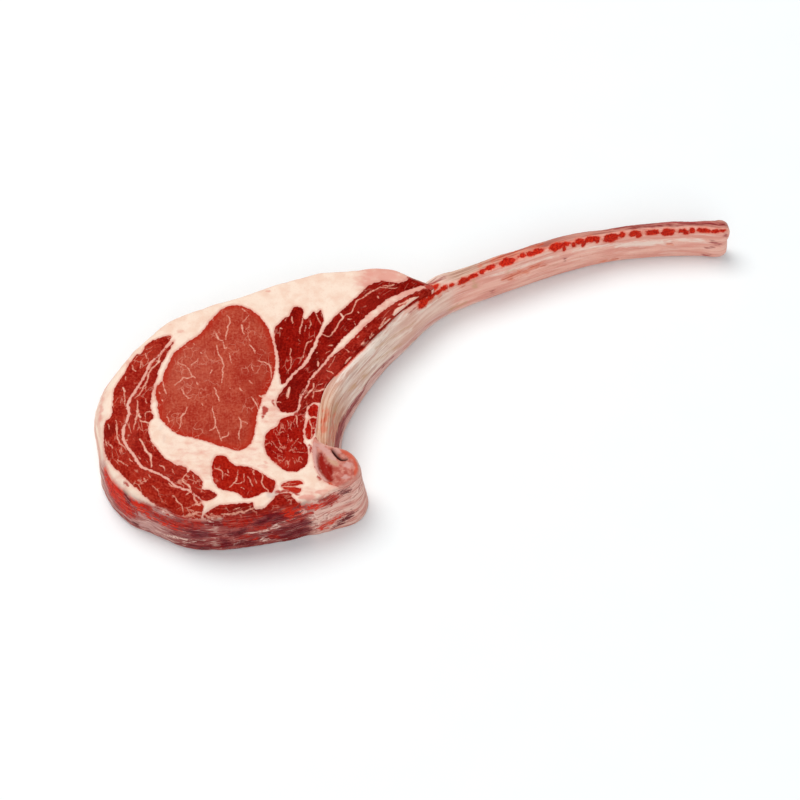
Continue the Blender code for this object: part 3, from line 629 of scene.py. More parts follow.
# ------------------------------------------------------------------------ slice pieces
class Slice:
    """The points of the whole slice, and the faces of each of its pieces."""

    def __init__(self):
        rim = self.rim = Rim()
        wall = wall_points(rim)
        paths = [cut_path(rim, wall[0, :, :2], border, closed) for _, border, closed, _ in LAYERS]
        self.top = Cut(wall[0, :, :2], paths, TOP_STEP, TOP_SEED)
        self.foot = Cut(wall[-1, :, :2], paths, FOOT_STEP, FOOT_SEED)
        loops = tree_of(np.vstack([path[0] for path in paths]))
        depth, foot_depth = (nearest(loops, cut.plan)[1] for cut in (self.top, self.foot))
        z, index, away = top_height(self.top.plan, rim, depth, self.top.piece_at(self.top.plan))
        foot_index, foot_away = rim.nearest(self.foot.plan)
        foot_z = (FOOT_LIFT + relief(*self.foot.plan.T, UNEVEN_FOOT)) * ease(foot_away, *FOOT_LIFTS)
        z[:rim.count], foot_z[:rim.count] = wall[0, :, 2], wall[-1, :, 2]
        middle = wall[1:-1].reshape(-1, 3)
        self.points = np.vstack([
            np.column_stack([self.top.plan, z]), middle, np.column_stack([self.foot.plan, foot_z]),
        ])
        self.number_points(len(z), len(middle))
        self.measure(index, away, foot_index, foot_away)
        self.depth = np.concatenate([depth, np.full(len(middle), REACH), foot_depth])
        self.on_wall = np.zeros(len(self.points), dtype=bool)
        self.on_wall[len(z):self.first_foot] = True
        self.find_normals()

    def number_points(self, tops, middles):
        """The wall's points as a grid of numbers, which shares its ends with the top and the foot."""
        count = self.rim.count
        self.first_foot = tops + middles
        between = tops + np.arange(middles).reshape(-1, count)
        self.grid = np.vstack([np.arange(count), between, self.first_foot + np.arange(count)])

    def measure(self, index, away, foot_index, foot_away):
        """At every point: the run along the rim, the way down from it, the way in under the foot."""
        rim = self.rim
        everywhere = np.broadcast_to(rim.along, rim.arc.shape)[1:-1].ravel()
        self.along = np.concatenate([rim.along[index], everywhere, rim.along[foot_index]])
        self.arc = np.concatenate([rim.inset[0, index] - away, rim.arc[1:-1].ravel(),
                                   rim.arc[-1, foot_index] + foot_away])
        self.arc[:rim.count] = 0
        self.under = np.full(len(self.points), -1.0)
        self.under[self.first_foot:] = np.maximum(0, foot_away - rim.inset[-1, foot_index])
        self.under[self.grid[-1]] = 0

    def find_normals(self):
        skin = np.vstack([self.top.triangles, self.wall_faces(np.arange(self.rim.count)), self.foot_faces()])
        a, b, c = (self.points[skin[:, k]] for k in range(3))
        face = np.cross(b - a, c - a)
        self.normals = np.zeros_like(self.points)
        for k in range(3):
            np.add.at(self.normals, skin[:, k], face)
        self.normals /= np.maximum(np.linalg.norm(self.normals, axis=1), 1e-9)[:, None]

    def wall_faces(self, places):
        after = (places + 1) % self.rim.count
        upper, lower = self.grid[:-1], self.grid[1:]
        quads = columns(upper[:, places], lower[:, places], lower[:, after], upper[:, after]).reshape(-1, 4)
        return np.vstack([quads[:, [0, 1, 2]], quads[:, [0, 2, 3]]])

    def foot_faces(self):
        return self.foot.triangles[:, ::-1] + self.first_foot

    def on_rim(self, a, b):
        """Whether two points of the top are neighbours on the rim."""
        count = self.rim.count
        return a < count and b < count and (b - a) % count in (1, count - 1)

    def owner_of_columns(self):
        """Which piece each column of the outer wall belongs to, from the triangles at the rim."""
        count = self.rim.count
        owner = np.zeros(count, dtype=int)
        for corners, label in zip(self.top.triangles, self.top.label):
            for a, b in zip(corners, np.roll(corners, -1)):
                if self.on_rim(a, b):
                    owner[a if (b - a) % count == 1 else b] = label
        return owner

    def piece_faces(self, number, owner):
        """Triangles of one closed piece: its cut face, its part of the wall, its seams and its foot."""
        top = self.top.triangles[self.top.label == number]
        foot = self.foot_faces()[self.foot.label == number]
        wall = self.wall_faces(np.flatnonzero(owner == number))
        edges = edges_of(top)
        _, first, times = np.unique(np.sort(edges, axis=1), axis=0, return_index=True, return_counts=True)
        seams = []
        for a, b in edges[first[times == 1]]:
            if not self.on_rim(a, b):
                seams += strip(self.chain_down(a), self.chain_down(b))
        return top, wall, np.array(seams, dtype=int).reshape(-1, 3), foot

    def chain_down(self, k):
        """The points straight under a border point of the top, down to the foot."""
        return list(self.grid[:, k]) if k < self.rim.count else [k, self.first_foot + k]


def strip(left, right):
    """Triangles between two chains of points that run down a cut from the same edge."""
    faces = [(left[i + 1], right[0], left[i]) for i in range(len(left) - 1)]
    return faces + [(left[-1], right[j + 1], right[j]) for j in range(len(right) - 1)]


def channel_of(form):
    """The greatest depth of fat within about 2 mm of each point: small in thin layers."""
    a, b = edges_of(form.top.triangles[form.top.label == 0]).T
    wide = np.zeros(len(form.points))
    wide[a] = form.depth[a]
    for _ in range(3):
        grown = wide.copy()
        np.maximum.at(grown, a, wide[b])
        np.maximum.at(grown, b, wide[a])
        wide = grown
    return np.where(form.under >= 0, REACH, wide)


SEAM = 2                 # place of the seams among a piece's groups of triangles


def mesh_piece(name, points, groups, creased, marks, material, normals=None):
    """A piece from groups of triangles; the group numbered creased is shaded flat."""
    faces = np.vstack(groups)
    flat = np.repeat([k == creased for k in range(len(groups))], [len(group) for group in groups])
    used, where = np.unique(faces.ravel(), return_inverse=True)
    faces = where.reshape(-1, 3)
    mesh = bpy.data.meshes.new(name)
    mesh.vertices.add(len(used))
    mesh.vertices.foreach_set("co", (points[used] * MM).ravel())
    mesh.loops.add(faces.size)
    mesh.loops.foreach_set("vertex_index", faces.ravel())
    mesh.polygons.add(len(faces))
    mesh.polygons.foreach_set("loop_start", np.arange(0, faces.size, 3))
    mesh.polygons.foreach_set("use_smooth", ~flat)
    mesh.update(calc_edges=True)
    for title, values in marks.items():
        kind, field = ("FLOAT", "value") if values.ndim == 1 else ("FLOAT_VECTOR", "vector")
        layer = mesh.attributes.new(title, kind, "POINT")
        layer.data.foreach_set(field, values[used].astype(np.float32).ravel())
    if normals is not None:
        own = normals[used][faces]
        own[flat] = 0
        mesh.normals_split_custom_set([tuple(n) for n in own.reshape(-1, 3)])
    return placed(name, mesh, material)


def placed(name, mesh, material):
    """A new object in the scene, with its material."""
    mesh.materials.append(material)
    piece = bpy.data.objects.new(name, mesh)
    bpy.context.scene.collection.objects.link(piece)
    return piece


# ---------------------------------------------------------------- marks on the surface
# Marks of the front wall, in places by run and height. The run is x up to CORNER_START, and
# from there it goes on along the rim round the corner of the backbone.
CORNER_START = (-83.0, -122.8)
WALL_FROM, WALL_TO, RIB_SIDE = (-221.0, -83.0), (-44.0, -88.0), (-72.0, -72.0)
FADE_IN, FADE_OUT = (-14, 8), (-8, 6)       # of the front wall's looks, along the rim
LEFT_ZONE, RIGHT_ZONE = (-182, -158), (-81, -73)    # run over which the side zones change
ROUND_RIM, ROUND_FOOT = (-2.4, 1.0), (0.0, 2.4)     # the wall's looks begin and end over these
INTO_FACE = -12.0        # the marks of the wall reach no further into the cut face
FACE_FADE = 5.0          # and grow to their full strength over this length
COVER_START, COVER_FULL = 2.0, 1.0  # the rib covers the rim from this much before RIB_SIDE, fully
COVER_END = (5.0, 9.0)   # from this much after it, and up to here past the start of the outline
STRATA_STRETCH = 7.0
WALL_RED = lines("""
    3.2: -130,37 -116,38 -104,40 -94,40; 2.8: -168,35.4 -160,35.6 -151,37.4; 1.4: -84,26 -76,28.6; 2.8:
    -118,22 -112,23.4 -105,24.8; 4.4: -132,33 -122,33 -114,36.4; 2.4: -108,40.4 -103,41 -97,39; 3.2:
    -70,41.6 -66,39.4 -62,39.2 -59,37; 4.2: -66,35 -61,34 -56,35; 3: -159,26 -158.4,33; 4.4: -153,27
    -151.4,37; 2.4: -190,32.6 -184,30 -180,29.4; 3.6: -202,28 -199,22 -197,16; 3.2: -181,29 -174,26.8
    -166,27.2 -160,28; 1.3: -194.6,26 -192.8,20; 1.2: -122,28 -112,27.6 -102,29; 1: -90,24.6 -82,23; 2.4:
    -103,12.4 -98,8; 1.6: -128,35.6 -127,31; 2: -126,16 -118,15.4
""")
WALL_ORANGE = lines("""
    2.4: -99,37 -90,40.4 -82,43; 2: -93,34 -86,36.8 -79,40; 1.5: -90,29.4 -83,32; 1.5: -183,24.6 -174,23.4
    -165,24; 2: -72,8.6 -64,10.6 -54,14; 8.6: -212,31 -207,25 -203,15; 2.8: -200,34 -192,28 -184,23; 4.4:
    -77,35 -70,35; 1: -119,10 -112,11.4
""")
WALL_DARK = lines("""
    3: -113,30 -108,32 -103,35 -97,37.4; 2.6: -99,30.6 -96,34; 3.4: -98,17.4 -90,17.8 -83,18.8 -76,17.2; 4:
    -96,9 -86,10 -77,8.4; 2.4: -126,7 -120,7.6 -114,6; 2: -158,6 -150,5.8 -144,5; 2.8: -136,16 -133.4,10
    -133,5; 3: -157,23.8 -150,22.6 -145,22; 1.6: -200.6,32.4 -199,28; 1.7: -197.4,8.4 -195.4,5.6; 2.4:
    -61,5 -54,9 -47,13; 3.6: -131,23 -125,20.6 -120,26; 2.4: -53.4,39.2 -50.4,37.6 -47.6,36.6; 1: -170,16
    -160,17.6 -150,17; 0.9: -112,13 -104,15.4
""")
WALL_PALE = lines("""
    1.2: -132,39 -124,38.4 -118,40.4 -112,42.8; 2.2: -99.4,24 -98.6,18.6; 3: -76.6,27.6 -74,22; 2.2:
    -109.6,12 -107,6; 2.6: -200,38.6 -190,38 -181,35.8; 1.4: -181,35 -174,33.6 -168,32.8; 1.8: -140.6,40
    -141.6,34; 2: -84.6,36 -80.6,32 -81,27; 3.4: -73,24 -73,6; 3.6: -67,23 -63,16; 1: -128,8 -118,9.6; 0.9:
    -92,13.4 -84,13.8; 1.2: -176,9 -166,12 -156,12; 0.8: -120,19 -110,18 -103,20; 1.8: -47,28 -38,31 -30,34
""")
# Soft spots of colour: centre, radii, strength
PINK_FAT = rows("""
    -110.3,56.5,3,2,1 -131.5,-81.5,3,2.4,0.8 -166.5,-88.6,3.4,2,0.8 -109,-93,6,2.6,0.7 -106.5,-89.5,2,2,0.8
    -104.5,-53,2.4,4,0.7 -170.5,20.4,5,2.4,0.7 -98.5,-110.5,2.4,4.4,0.9 -28,78,34,12,1.1 -220,-80,7,24,0.8
    -206,-101,14,9,0.6 -225,-40,7,36,0.9 -140,-82,56,34,0.5 -192,-30,12,54,0.7 -104,-46,14,22,0.7
    -74,-113,14,8,0.55 -182,25,8,5,0.35 -66,75,24,4,0.5 -47,-96,8,12,0.8 -62,-112,16,7,0.7
    -92,-121,12,5,0.6 -80,-114,12,4,0.7 -66,-104,9,8,0.45 -22,66,38,20,1.2 -88,-121.4,8,3,1
    -78,-117.4,8,3,1.2 -68,-113.4,8,3.4,1.2 -205,0,8,14,0.6 -130,52,12,3,0.3 -53,5,12,14,0.5 -39,27,14,16,1
    -26,43,12,12,0.9 -153,-121,5,4,0.9
""")
GREY_FAT = rows("""
    -101,-115,7,5,0.7 -104,-108,5,4,0.5 -179,-62,2.4,5,0.35 -176,-71,1.6,6,0.35 -209,-64,2,3,0.5
    -199,-86,2,3,0.5
""")
DARK_MEAT = rows("""
    -112,-24,20,44,0.42 -140,-66,34,12,0.3 -111,-36.6,1.4,1.4,1 -214,-62,6,7,0.6 -66,22,4,14,0.35
    -101,14,4,16,0.4 -76,-3,6,12,0.5 -92,-24,6,14,0.45 -119,-126,20,3,0.5
""")
BRIGHT_MEAT = rows("""
    -162,-10,24,30,0.4 -200,-60,7,40,0.45 -92,-90,16,7,0.8 -190,0,10,12,0.4 -176,-96,20,8,0.3
    -40,50,24,18,0.35 -20,40,14,12,0.5 -66,-10,10,18,0.4 -150,-108,10,9,0.3
""")
RED_DOT, RED_DOT_SIZE, RED_DOT_CLEAR = (-187.2, -52.4), 1.9, 2.4
VEIN_WIDTH = 0.62        # the drawn half widths are brought down to this share
VEIN_WANDER = 0.6        # how far the veins stray from their drawn routes
UNDER_WANDER = 3.0       # how far the marks stray from them on the underside
UNDER_SIZE = 18.0        # size of the lumps in that stray
STRAY_SEEDS = ((63, 61), (65, 62))      # along x and along y: on both faces, on the underside
# On the cut backbone
CHINE_RED = lines("""
    3: -69.8,-82.6 -68.8,-88 -67.6,-93 -65,-97.6 -62.6,-102.6; 2.2: -65.6,-90 -63.6,-94 -62.6,-98
""")
CHINE_LILAC = lines("""
    1.9: -74.8,-74.6 -74.2,-82 -74,-89 -72.6,-95; 1.3: -72.6,-95 -69.6,-100.4 -65.8,-104; 2: -73,-75
    -68.4,-78 -64.8,-82 -60,-87.4; 1.8: -60.6,-79.2 -57,-81.6; 2.2: -53,-91 -49.6,-91.6; 1.8: -54.6,-101.6
    -51,-101
""")
CHINE_TAN = lines("""
    2.4: -64.4,-84 -61.6,-88 -59,-90.6
""")
CHINE_BROWN = lines("""
    2.2: -60.4,-94 -57,-96; 1.2: -53.2,-96.8 -52,-98; 1.5: -58.6,-100.6 -56.4,-104; 0.8: -46.6,-98.4
    -46,-100.4
""")
CHINE_ORANGE = lines("""
    1.8: -56,-80.6 -51.4,-83.4 -47.8,-87 -45.8,-91.4; 1.5: -46,-92 -45.6,-97 -46.2,-101.6; 1.6:
    -64.2,-105.6 -61,-108.8; 0.8: -47,-103.2 -50.4,-106 -54.4,-109.4 -59.4,-112
""")
# Painted shade: the crack along the deepest hollow of the cut backbone, drawn near-black red where the groove
# is
CHINE_SLIT_SHADE = lines("""
    0.9: -62.2,-79 -60.4,-82 -58,-85 -55.4,-87 -52,-86.8
""")


def wall_marks(form):
    """What the wall's materials read: the front part, its zones and its marks, per point."""
    rim = form.rim
    start, begin, end, rib_side = (rim.run_to(p) for p in (CORNER_START, WALL_FROM, WALL_TO, RIB_SIDE))
    x, z = form.points[:, 0], form.points[:, 2]
    run = np.where(form.along < start, x, CORNER_START[0] + form.along - start)
    front = ease(form.along - begin, *FADE_IN) * (1 - ease(form.along - end, *FADE_OUT))
    covered = np.maximum(ease(form.along, rib_side - COVER_START, rib_side + COVER_FULL),
                         1 - ease(form.along, *COVER_END))
    wall = ease(form.arc, *ROUND_RIM) * (1 - ease(form.under, *ROUND_FOOT)) * (1 - covered)
    near = np.flatnonzero((front > 0.01) & (form.arc > INTO_FACE) & (form.under < 1))
    fade = REACH * (1 - ease(form.arc[near], INTO_FACE, INTO_FACE + FACE_FADE))
    found = np.full((len(x), 4), -REACH)
    place = columns(run, z)[near]
    found[near] = depths(place, WALL_RED, WALL_DARK, WALL_PALE, WALL_ORANGE) - fade[:, None]
    return {
        "wall": columns(wall, front, found[:, 3]), "wall_mark": found[:, :3],
        "wall_zone": columns(1 - ease(run, *LEFT_ZONE), ease(run, *RIGHT_ZONE), 0 * x),
        "strata": columns(form.along / STRATA_STRETCH, form.arc, 0 * x),
    }


def slice_marks(form):
    """Values at every point of the slice that the materials of its cut face read."""
    x, y = form.points[:, 0], form.points[:, 1]
    shift = np.where(form.under >= 0, UNDER_WANDER, 0.0)
    stray = [
        VEIN_WANDER * relief(x, y, ((1, 3.4, seed), (0.5, 1.6, seed + 1)))
        + shift * lumps(x, y, UNDER_SIZE, far) for seed, far in STRAY_SEEDS
    ]
    plan = columns(x + stray[0], y + stray[1])
    veins = (EYE_VEINS + CAP_VEINS + COMPLEXUS_VEINS + MULTIFIDUS_VEINS + SPINE_VEINS + WEDGE_VEINS
             + RIB_MUSCLE_VEINS + EDGE_VEINS + FRONT_VEINS)
    veins = [(VEIN_WIDTH * half_width, route) for half_width, route in veins]
    white, lean = np.where(form.on_wall, -REACH, depths(plan, veins, FAT_MEAT).T)
    from_dot = np.linalg.norm(plan - RED_DOT, axis=1)
    depth = np.minimum(form.depth, REACH)
    return {
        "white": np.where(from_dot < RED_DOT_CLEAR, -REACH, white),
        "lean": np.maximum(lean, RED_DOT_SIZE - from_dot), "channel": channel_of(form),
        "fat_tint": columns(spots(plan, PINK_FAT), spots(plan, GREY_FAT), depth),
        "lean_tint": columns(spots(plan, DARK_MEAT), spots(plan, BRIGHT_MEAT), depth), **wall_marks(form),
    }


def chine_marks(form):
    plan = form.points[:, :2]
    # the third channel of chine_more is the crack that is painted as shade
    return {"chine": depths(plan, CHINE_RED, CHINE_LILAC, CHINE_TAN),
            "chine_more": depths(plan, CHINE_BROWN, CHINE_ORANGE, CHINE_SLIT_SHADE)}


# ---------------------------------------------------------------------------- the rib
RIB_STEP = 0.9           # spacing of the rib's sections
RIB_FOOT, RIB_TIP_FOOT = 0.8, 0.5
RIB_EMBED = 1.6          # the rib reaches this much deeper into the meat than its CAD thickness
BELOW_CUT = 0.5          # its top runs this far under the cut face where it meets the meat
RIB_INTO_CHINE = 6.0     # the rib starts this far inside the backbone
MEAT_END = 172.0         # arc length where the meat ends on the rib
MEAT_FADE = 14.0         # the meat beside it thins out over this length
EMBED_OUT, EMBED_BACK = (108.0, 132.0), 146.0       # over the first it draws back past its thickness
EMBED_SWING = 0.9        # by this share of RIB_EMBED, and from the second on it returns to it
BESIDE_OUT = (118.0, 140.0)         # the inner side rises to the cut face until this stretch
FOOT_SHARE, FOOT_ROUND = 0.40, 4.0  # rounding of the corners: its largest share of the width, and in mm
OUTER_SHARE, OUTER_ROUND, OUTER_MORE = 0.45, 4.2, 3.0       # so much more beside the meat
INNER_SHARE, INNER_ROUND, INNER_LEAST = 0.36, 3.0, 0.3      # only the least beside the meat
TIP_ROUND = 5.0
END_SECTIONS = 6         # sections of the round tip, and of the root inside the backbone
RIB_INSET = 0.35         # room for the relief inside the CAD section
RIB_RELIEF = ((0.22, 1.3, 71, 12), (0.45, 4.2, 72, 7), (0.5, 16.0, 73), (0.10, 0.9, 74, 1.6))
SIDES = (30, 10, 24, 10)            # points on the outer face, the top, the inner face and the foot
CORNER_POINTS = 8
TOP_EDGE = CORNER_POINTS + SIDES[0] + CORNER_POINTS // 2    # the section's point on the outer top corner
ROOT_CALM, FOOT_CALM, TIP_CALM = (-4.0, 6.0), (1.0, 6.0), 3.0      # the relief grows over these
FOOT_RELIEF = 0.4        # share of the relief that the foot has
HIDDEN_CALM, HIDDEN_FROM = 0.8, 0.6     # beside the meat, less by this past this share across
MARROW_DEPTH, MARROW_SLOPE = 0.9, (-0.5, 0.9)
MARROW_EDGE = ((0.6, 2.6, 75), (0.4, 1.2, 76))
# Red marrow spots: arc length, place across (minus on top, plus on the side), half length, half width
MARROW = rows("""
    138.4,1.2,4.6,2.6 146,0.4,3.6,1.6 153.4,0.8,2.2,1.2 159,0,2.6,1.3 165,0.6,1.8,1.1 174.6,1,4.4,2.6
    182.4,-0.2,3.2,1.5 189.6,-1.2,2.8,1.3 197,-2.2,3.4,1.9 210.6,-2.2,5.8,3.3 222.6,-2.8,2.8,1.9
    229,-2.2,3.2,1.8 235,-2.4,4,2 248.4,-1,4.6,2.9 256.4,-1,3.8,1.4 254.4,2.6,1.2,2.2 262,1.2,1.6,1.8
    266.6,-0.4,3.6,1.7 269.2,3,1.5,2.4 276.6,0,5.2,2 280.4,2.8,1.4,2 290.8,2.8,5.4,4 299.4,1.4,2.2,2.4
    308.8,1.8,3.8,2.2 311.8,4,2.4,2.4 321.4,2.2,4.6,2 333.4,2.6,4.2,3.2 343.6,1.6,2.6,1.5 346.8,3.8,2,1.9
    351.4,2,2,2.6 360,1.4,4.8,1.9 368.6,1.2,2.6,1.4 374,0.6,2.4,1.4
""")
# Lines on the rib, in places by arc length and place across
BONE_MEAT = lines("""
    2: 50,-7.4 62,-6.4 80,-6.2 98,-6.6 116,-6.6; 2.4: 124,-6 138,-6.4 152,-6; 1.7: 138,-3.2 148,-3.6
    156,-4.4; 0.8: 74,-4.9 80,-4.2; 0.8: 99,-4.9 104,-4.2
""")
BONE_DARK = lines("""
    9: -4,27 6,26 14,27 22,29; 6: 14,28 26,29 38,30; 3.4: 28,29 44,30.4 66,29.6; 0.8: 126,0.4 134,1; 1:
    58,29.6 76,27 92,28.4 104,29.6; 1.6: 290,-6.4 310,-6.2 334,-5.8; 2: 326,-5.6 350,-5.8 376,-5.4; 1:
    303,-3.4 320,-3.2 344,-2.8; 1.4: 128,-8 146,-8.4 164,-8; 1: 197.6,25 198.6,26; 1: 362,29 367,29.4; 1.2:
    366,13 374,15.4; 0.7: 364,20.6 369,19; 0.8: 255.6,14.6 256.2,17; 1: 376,4 378,9
""")
BONE_WARM = lines("""
    2.6: -4,2 8,6 20,13; 2.2: 2,7 12,12 24,20; 1.3: 6,15 18,20 30,25; 1.6: 6,-3 24,-1; 1.2: 16,7 30,13; 3:
    147,-5.4 156,-5; 0.8: 137,2.4 148,3.2 160,4.8; 1.6: 174.6,-1 174.8,5.6; 2.8: 206,14 222,15 240,13; 1.4:
    190,-7 215,-7.4 240,-7; 2: 296,31 284,30; 1.6: 334,15 337,18
""")
BONE_PALE = lines("""
    1.8: 46,-2.4 70,-2.4 100,-2 122,-1.4; 1.6: 62,23.4 90,24 106,25; 1.6: 80,1.4 100,2.4; 1.4: 100,12
    124,15.4; 1: 128,4.6 150,6.6; 1.2: 196,6 250,8.4; 1.2: 262,8 300,11; 1.4: 340,12 362,12.6; 1.6: 110,34
    150,33 190,32; 3: 296,13 318,14 336,14
""")
BONE_TAN = lines("""
    2.2: 50,13 60,17; 0.9: 86,3 95,6.4 110,9 128,12; 0.8: 60,12 80,15.4 96,19 112,23; 2: 182,6 184.6,14; 1:
    209,6 209.8,10; 0.9: 214,8 215.4,11; 3.4: 24,6 34,11; 2: 66,17 76,20; 1.4: 160,26 176,26
""")


def rib_rows():
    """Evenly spaced stations: arc length, station values, normal, low edge, and the whole length."""
    fine = smooth_curve(RIB_STATIONS, 2 * CURVE_STEPS, False)
    length = run_along(fine)
    total = length[-1]
    tip = total - TIP_ROUND * (1 - np.sin(np.linspace(0, math.pi / 2, END_SECTIONS)))
    s = np.concatenate([np.arange(0, total - TIP_ROUND, RIB_STEP), tip])
    into = -np.linspace(RIB_INTO_CHINE, RIB_STEP, END_SECTIONS)
    s = np.concatenate([into, s])
    stations = read_at(s, length, fine)
    tangent = unit(read_at(s, length, unit(np.gradient(fine[:, :2], axis=0))))
    stations[:END_SECTIONS, :2] += tangent[:END_SECTIONS] * into[:, None]
    low = RIB_FOOT + (RIB_TIP_FOOT - RIB_FOOT) * np.clip(s, 0, total) / total
    return s, stations, right_of(tangent), low, total


def rib_section(thickness, lean, low, high, inner_high, meat, near):
    """One closed section, across and up, anticlockwise from the foot of the outer face."""
    width = thickness + RIB_EMBED * near
    foot = min(FOOT_SHARE * width, FOOT_ROUND)
    outer = min(OUTER_SHARE * (width - lean), OUTER_ROUND + OUTER_MORE * meat)
    inner = min(INNER_SHARE * (width - lean), INNER_ROUND) * (1 - meat) + INNER_LEAST
    corners = np.array([
        (0.0, low, foot), (-lean, high, outer), (-width, inner_high, inner), (-width, low, foot),
    ])
    points = []
    befores, afters = np.roll(corners, 1, axis=0), np.roll(corners, -1, axis=0)
    for here, before, after, side in zip(corners, befores, afters, SIDES):
        back, ahead = unit(before[:2] - here[:2]), unit(after[:2] - here[:2])
        start, end = here[:2] + back * here[2], here[:2] + ahead * here[2]
        for t in np.linspace(0, 1, CORNER_POINTS):
            points.append((1 - t) ** 2 * start + 2 * t * (1 - t) * here[:2] + t * t * end)
        far_end = after[:2] - ahead * after[2]
        points += [end + (far_end - end) * t for t in np.linspace(0, 1, side + 2)[1:-1]]
    return points


def rib_points():
    """The rib's points by section, their arc length and place across, their marrow, the meat beside."""
    s, stations, normal, low, total = rib_rows()
    meat = 1 - ease(s, MEAT_END - MEAT_FADE, MEAT_END)
    near = 1 - (1 + EMBED_SWING) * ease(s, *EMBED_OUT) + EMBED_SWING * ease(s, EMBED_BACK, MEAT_END)
    x, _, thickness, lean, high = stations.T
    beside = meat * (1 - ease(s, *BESIDE_OUT))
    inner_high = high + beside * np.maximum(0, THICKNESS - sag(x) - BELOW_CUT - high)
    sizes = zip(thickness, lean, low, high, inner_high, meat, near)
    sections = np.array([rib_section(*row) for row in sizes])
    around = np.array([run_along(section) for section in sections])
    w = around[:, TOP_EDGE, None] - around
    s = np.broadcast_to(s[:, None], w.shape)
    raised = ease(sections[:, :, 1], *FOOT_CALM)
    soft = ease(s, *ROOT_CALM) * (FOOT_RELIEF + (1 - FOOT_RELIEF) * raised)
    red = marrow_depth(s, w)
    sink = RIB_INSET + MARROW_DEPTH * ease(red, *MARROW_SLOPE)
    hidden = meat[:, None] * (sections[:, :, 0] < -thickness[:, None] * HIDDEN_FROM)
    bumps = relief(s, w, RIB_RELIEF) * soft * (1 - HIDDEN_CALM * hidden)
    inward = (bumps - sink) * ease(total - s, 0.0, TIP_CALM)
    sections = sections + normals_of(sections) * inward[:, :, None]
    close = np.clip((total - s[:, :1]) / TIP_ROUND, 0, 1)
    shrink = TIP_ROUND * (1 - np.sqrt(1 - (1 - close) ** 2))
    middle = sections.mean(axis=1)[:, None]
    radius = np.maximum(np.linalg.norm(sections - middle, axis=2), 1)
    sections = middle + (sections - middle) * (1 - shrink / radius)[:, :, None]
    across = sections[:, :, :1]
    plan = stations[:, None, :2] + normal[:, None] * across
    return np.dstack([plan, sections[:, :, 1]]), s, w, red, meat


def marrow_depth(s, w):
    """Depth inside the nearest marrow spot, in mm; negative outside."""
    best = np.full(s.shape, -REACH)
    wander = relief(s, w, MARROW_EDGE)
    for at, across, half_length, half_width in MARROW:
        away = np.hypot((s - at) / half_length, (w - across) / half_width)
        best = np.maximum(best, (1 - away) * half_width + wander)
    return best


def build_rib():
    points, s, w, red, meat = rib_points()
    around = s.shape[1]
    grid = np.arange(s.size).reshape(s.shape)
    a, b = grid[:-1], grid[1:]
    c, d = np.roll(b, -1, axis=1), np.roll(a, -1, axis=1)
    after = np.roll(np.arange(around), -1)
    root, tip = np.full(around, s.size), np.full(around, s.size + 1)
    caps = [columns(root, grid[0], grid[0][after]), columns(tip, grid[-1][after], grid[-1])]
    faces = [columns(a, b, c).reshape(-1, 3), columns(a, c, d).reshape(-1, 3)] + caps
    every = np.vstack([points.reshape(-1, 3), points[0].mean(axis=0), points[-1].mean(axis=0)])

    def full(values, at_root, at_tip):
        return np.append(values.ravel(), [at_root, at_tip])

    plane = columns(full(s, s[0, 0], s[-1, 0]), full(w, 0, -4.0))
    beside = full(np.broadcast_to(meat[:, None], s.shape), 1, 0)
    tan = line_depth(plane, BONE_TAN)
    marks = {
        "marrow": np.maximum(full(red, -REACH, -REACH), line_depth(plane, BONE_MEAT)),
        "bone_at": np.column_stack([plane, every[:, 2]]),
        "bone_mark": depths(plane, BONE_DARK, BONE_WARM, BONE_PALE),
        "bone_more": columns(tan, beside, 0 * tan),
    }
    return mesh_piece("rib_bone_look", every, faces, None, marks, bone_material())


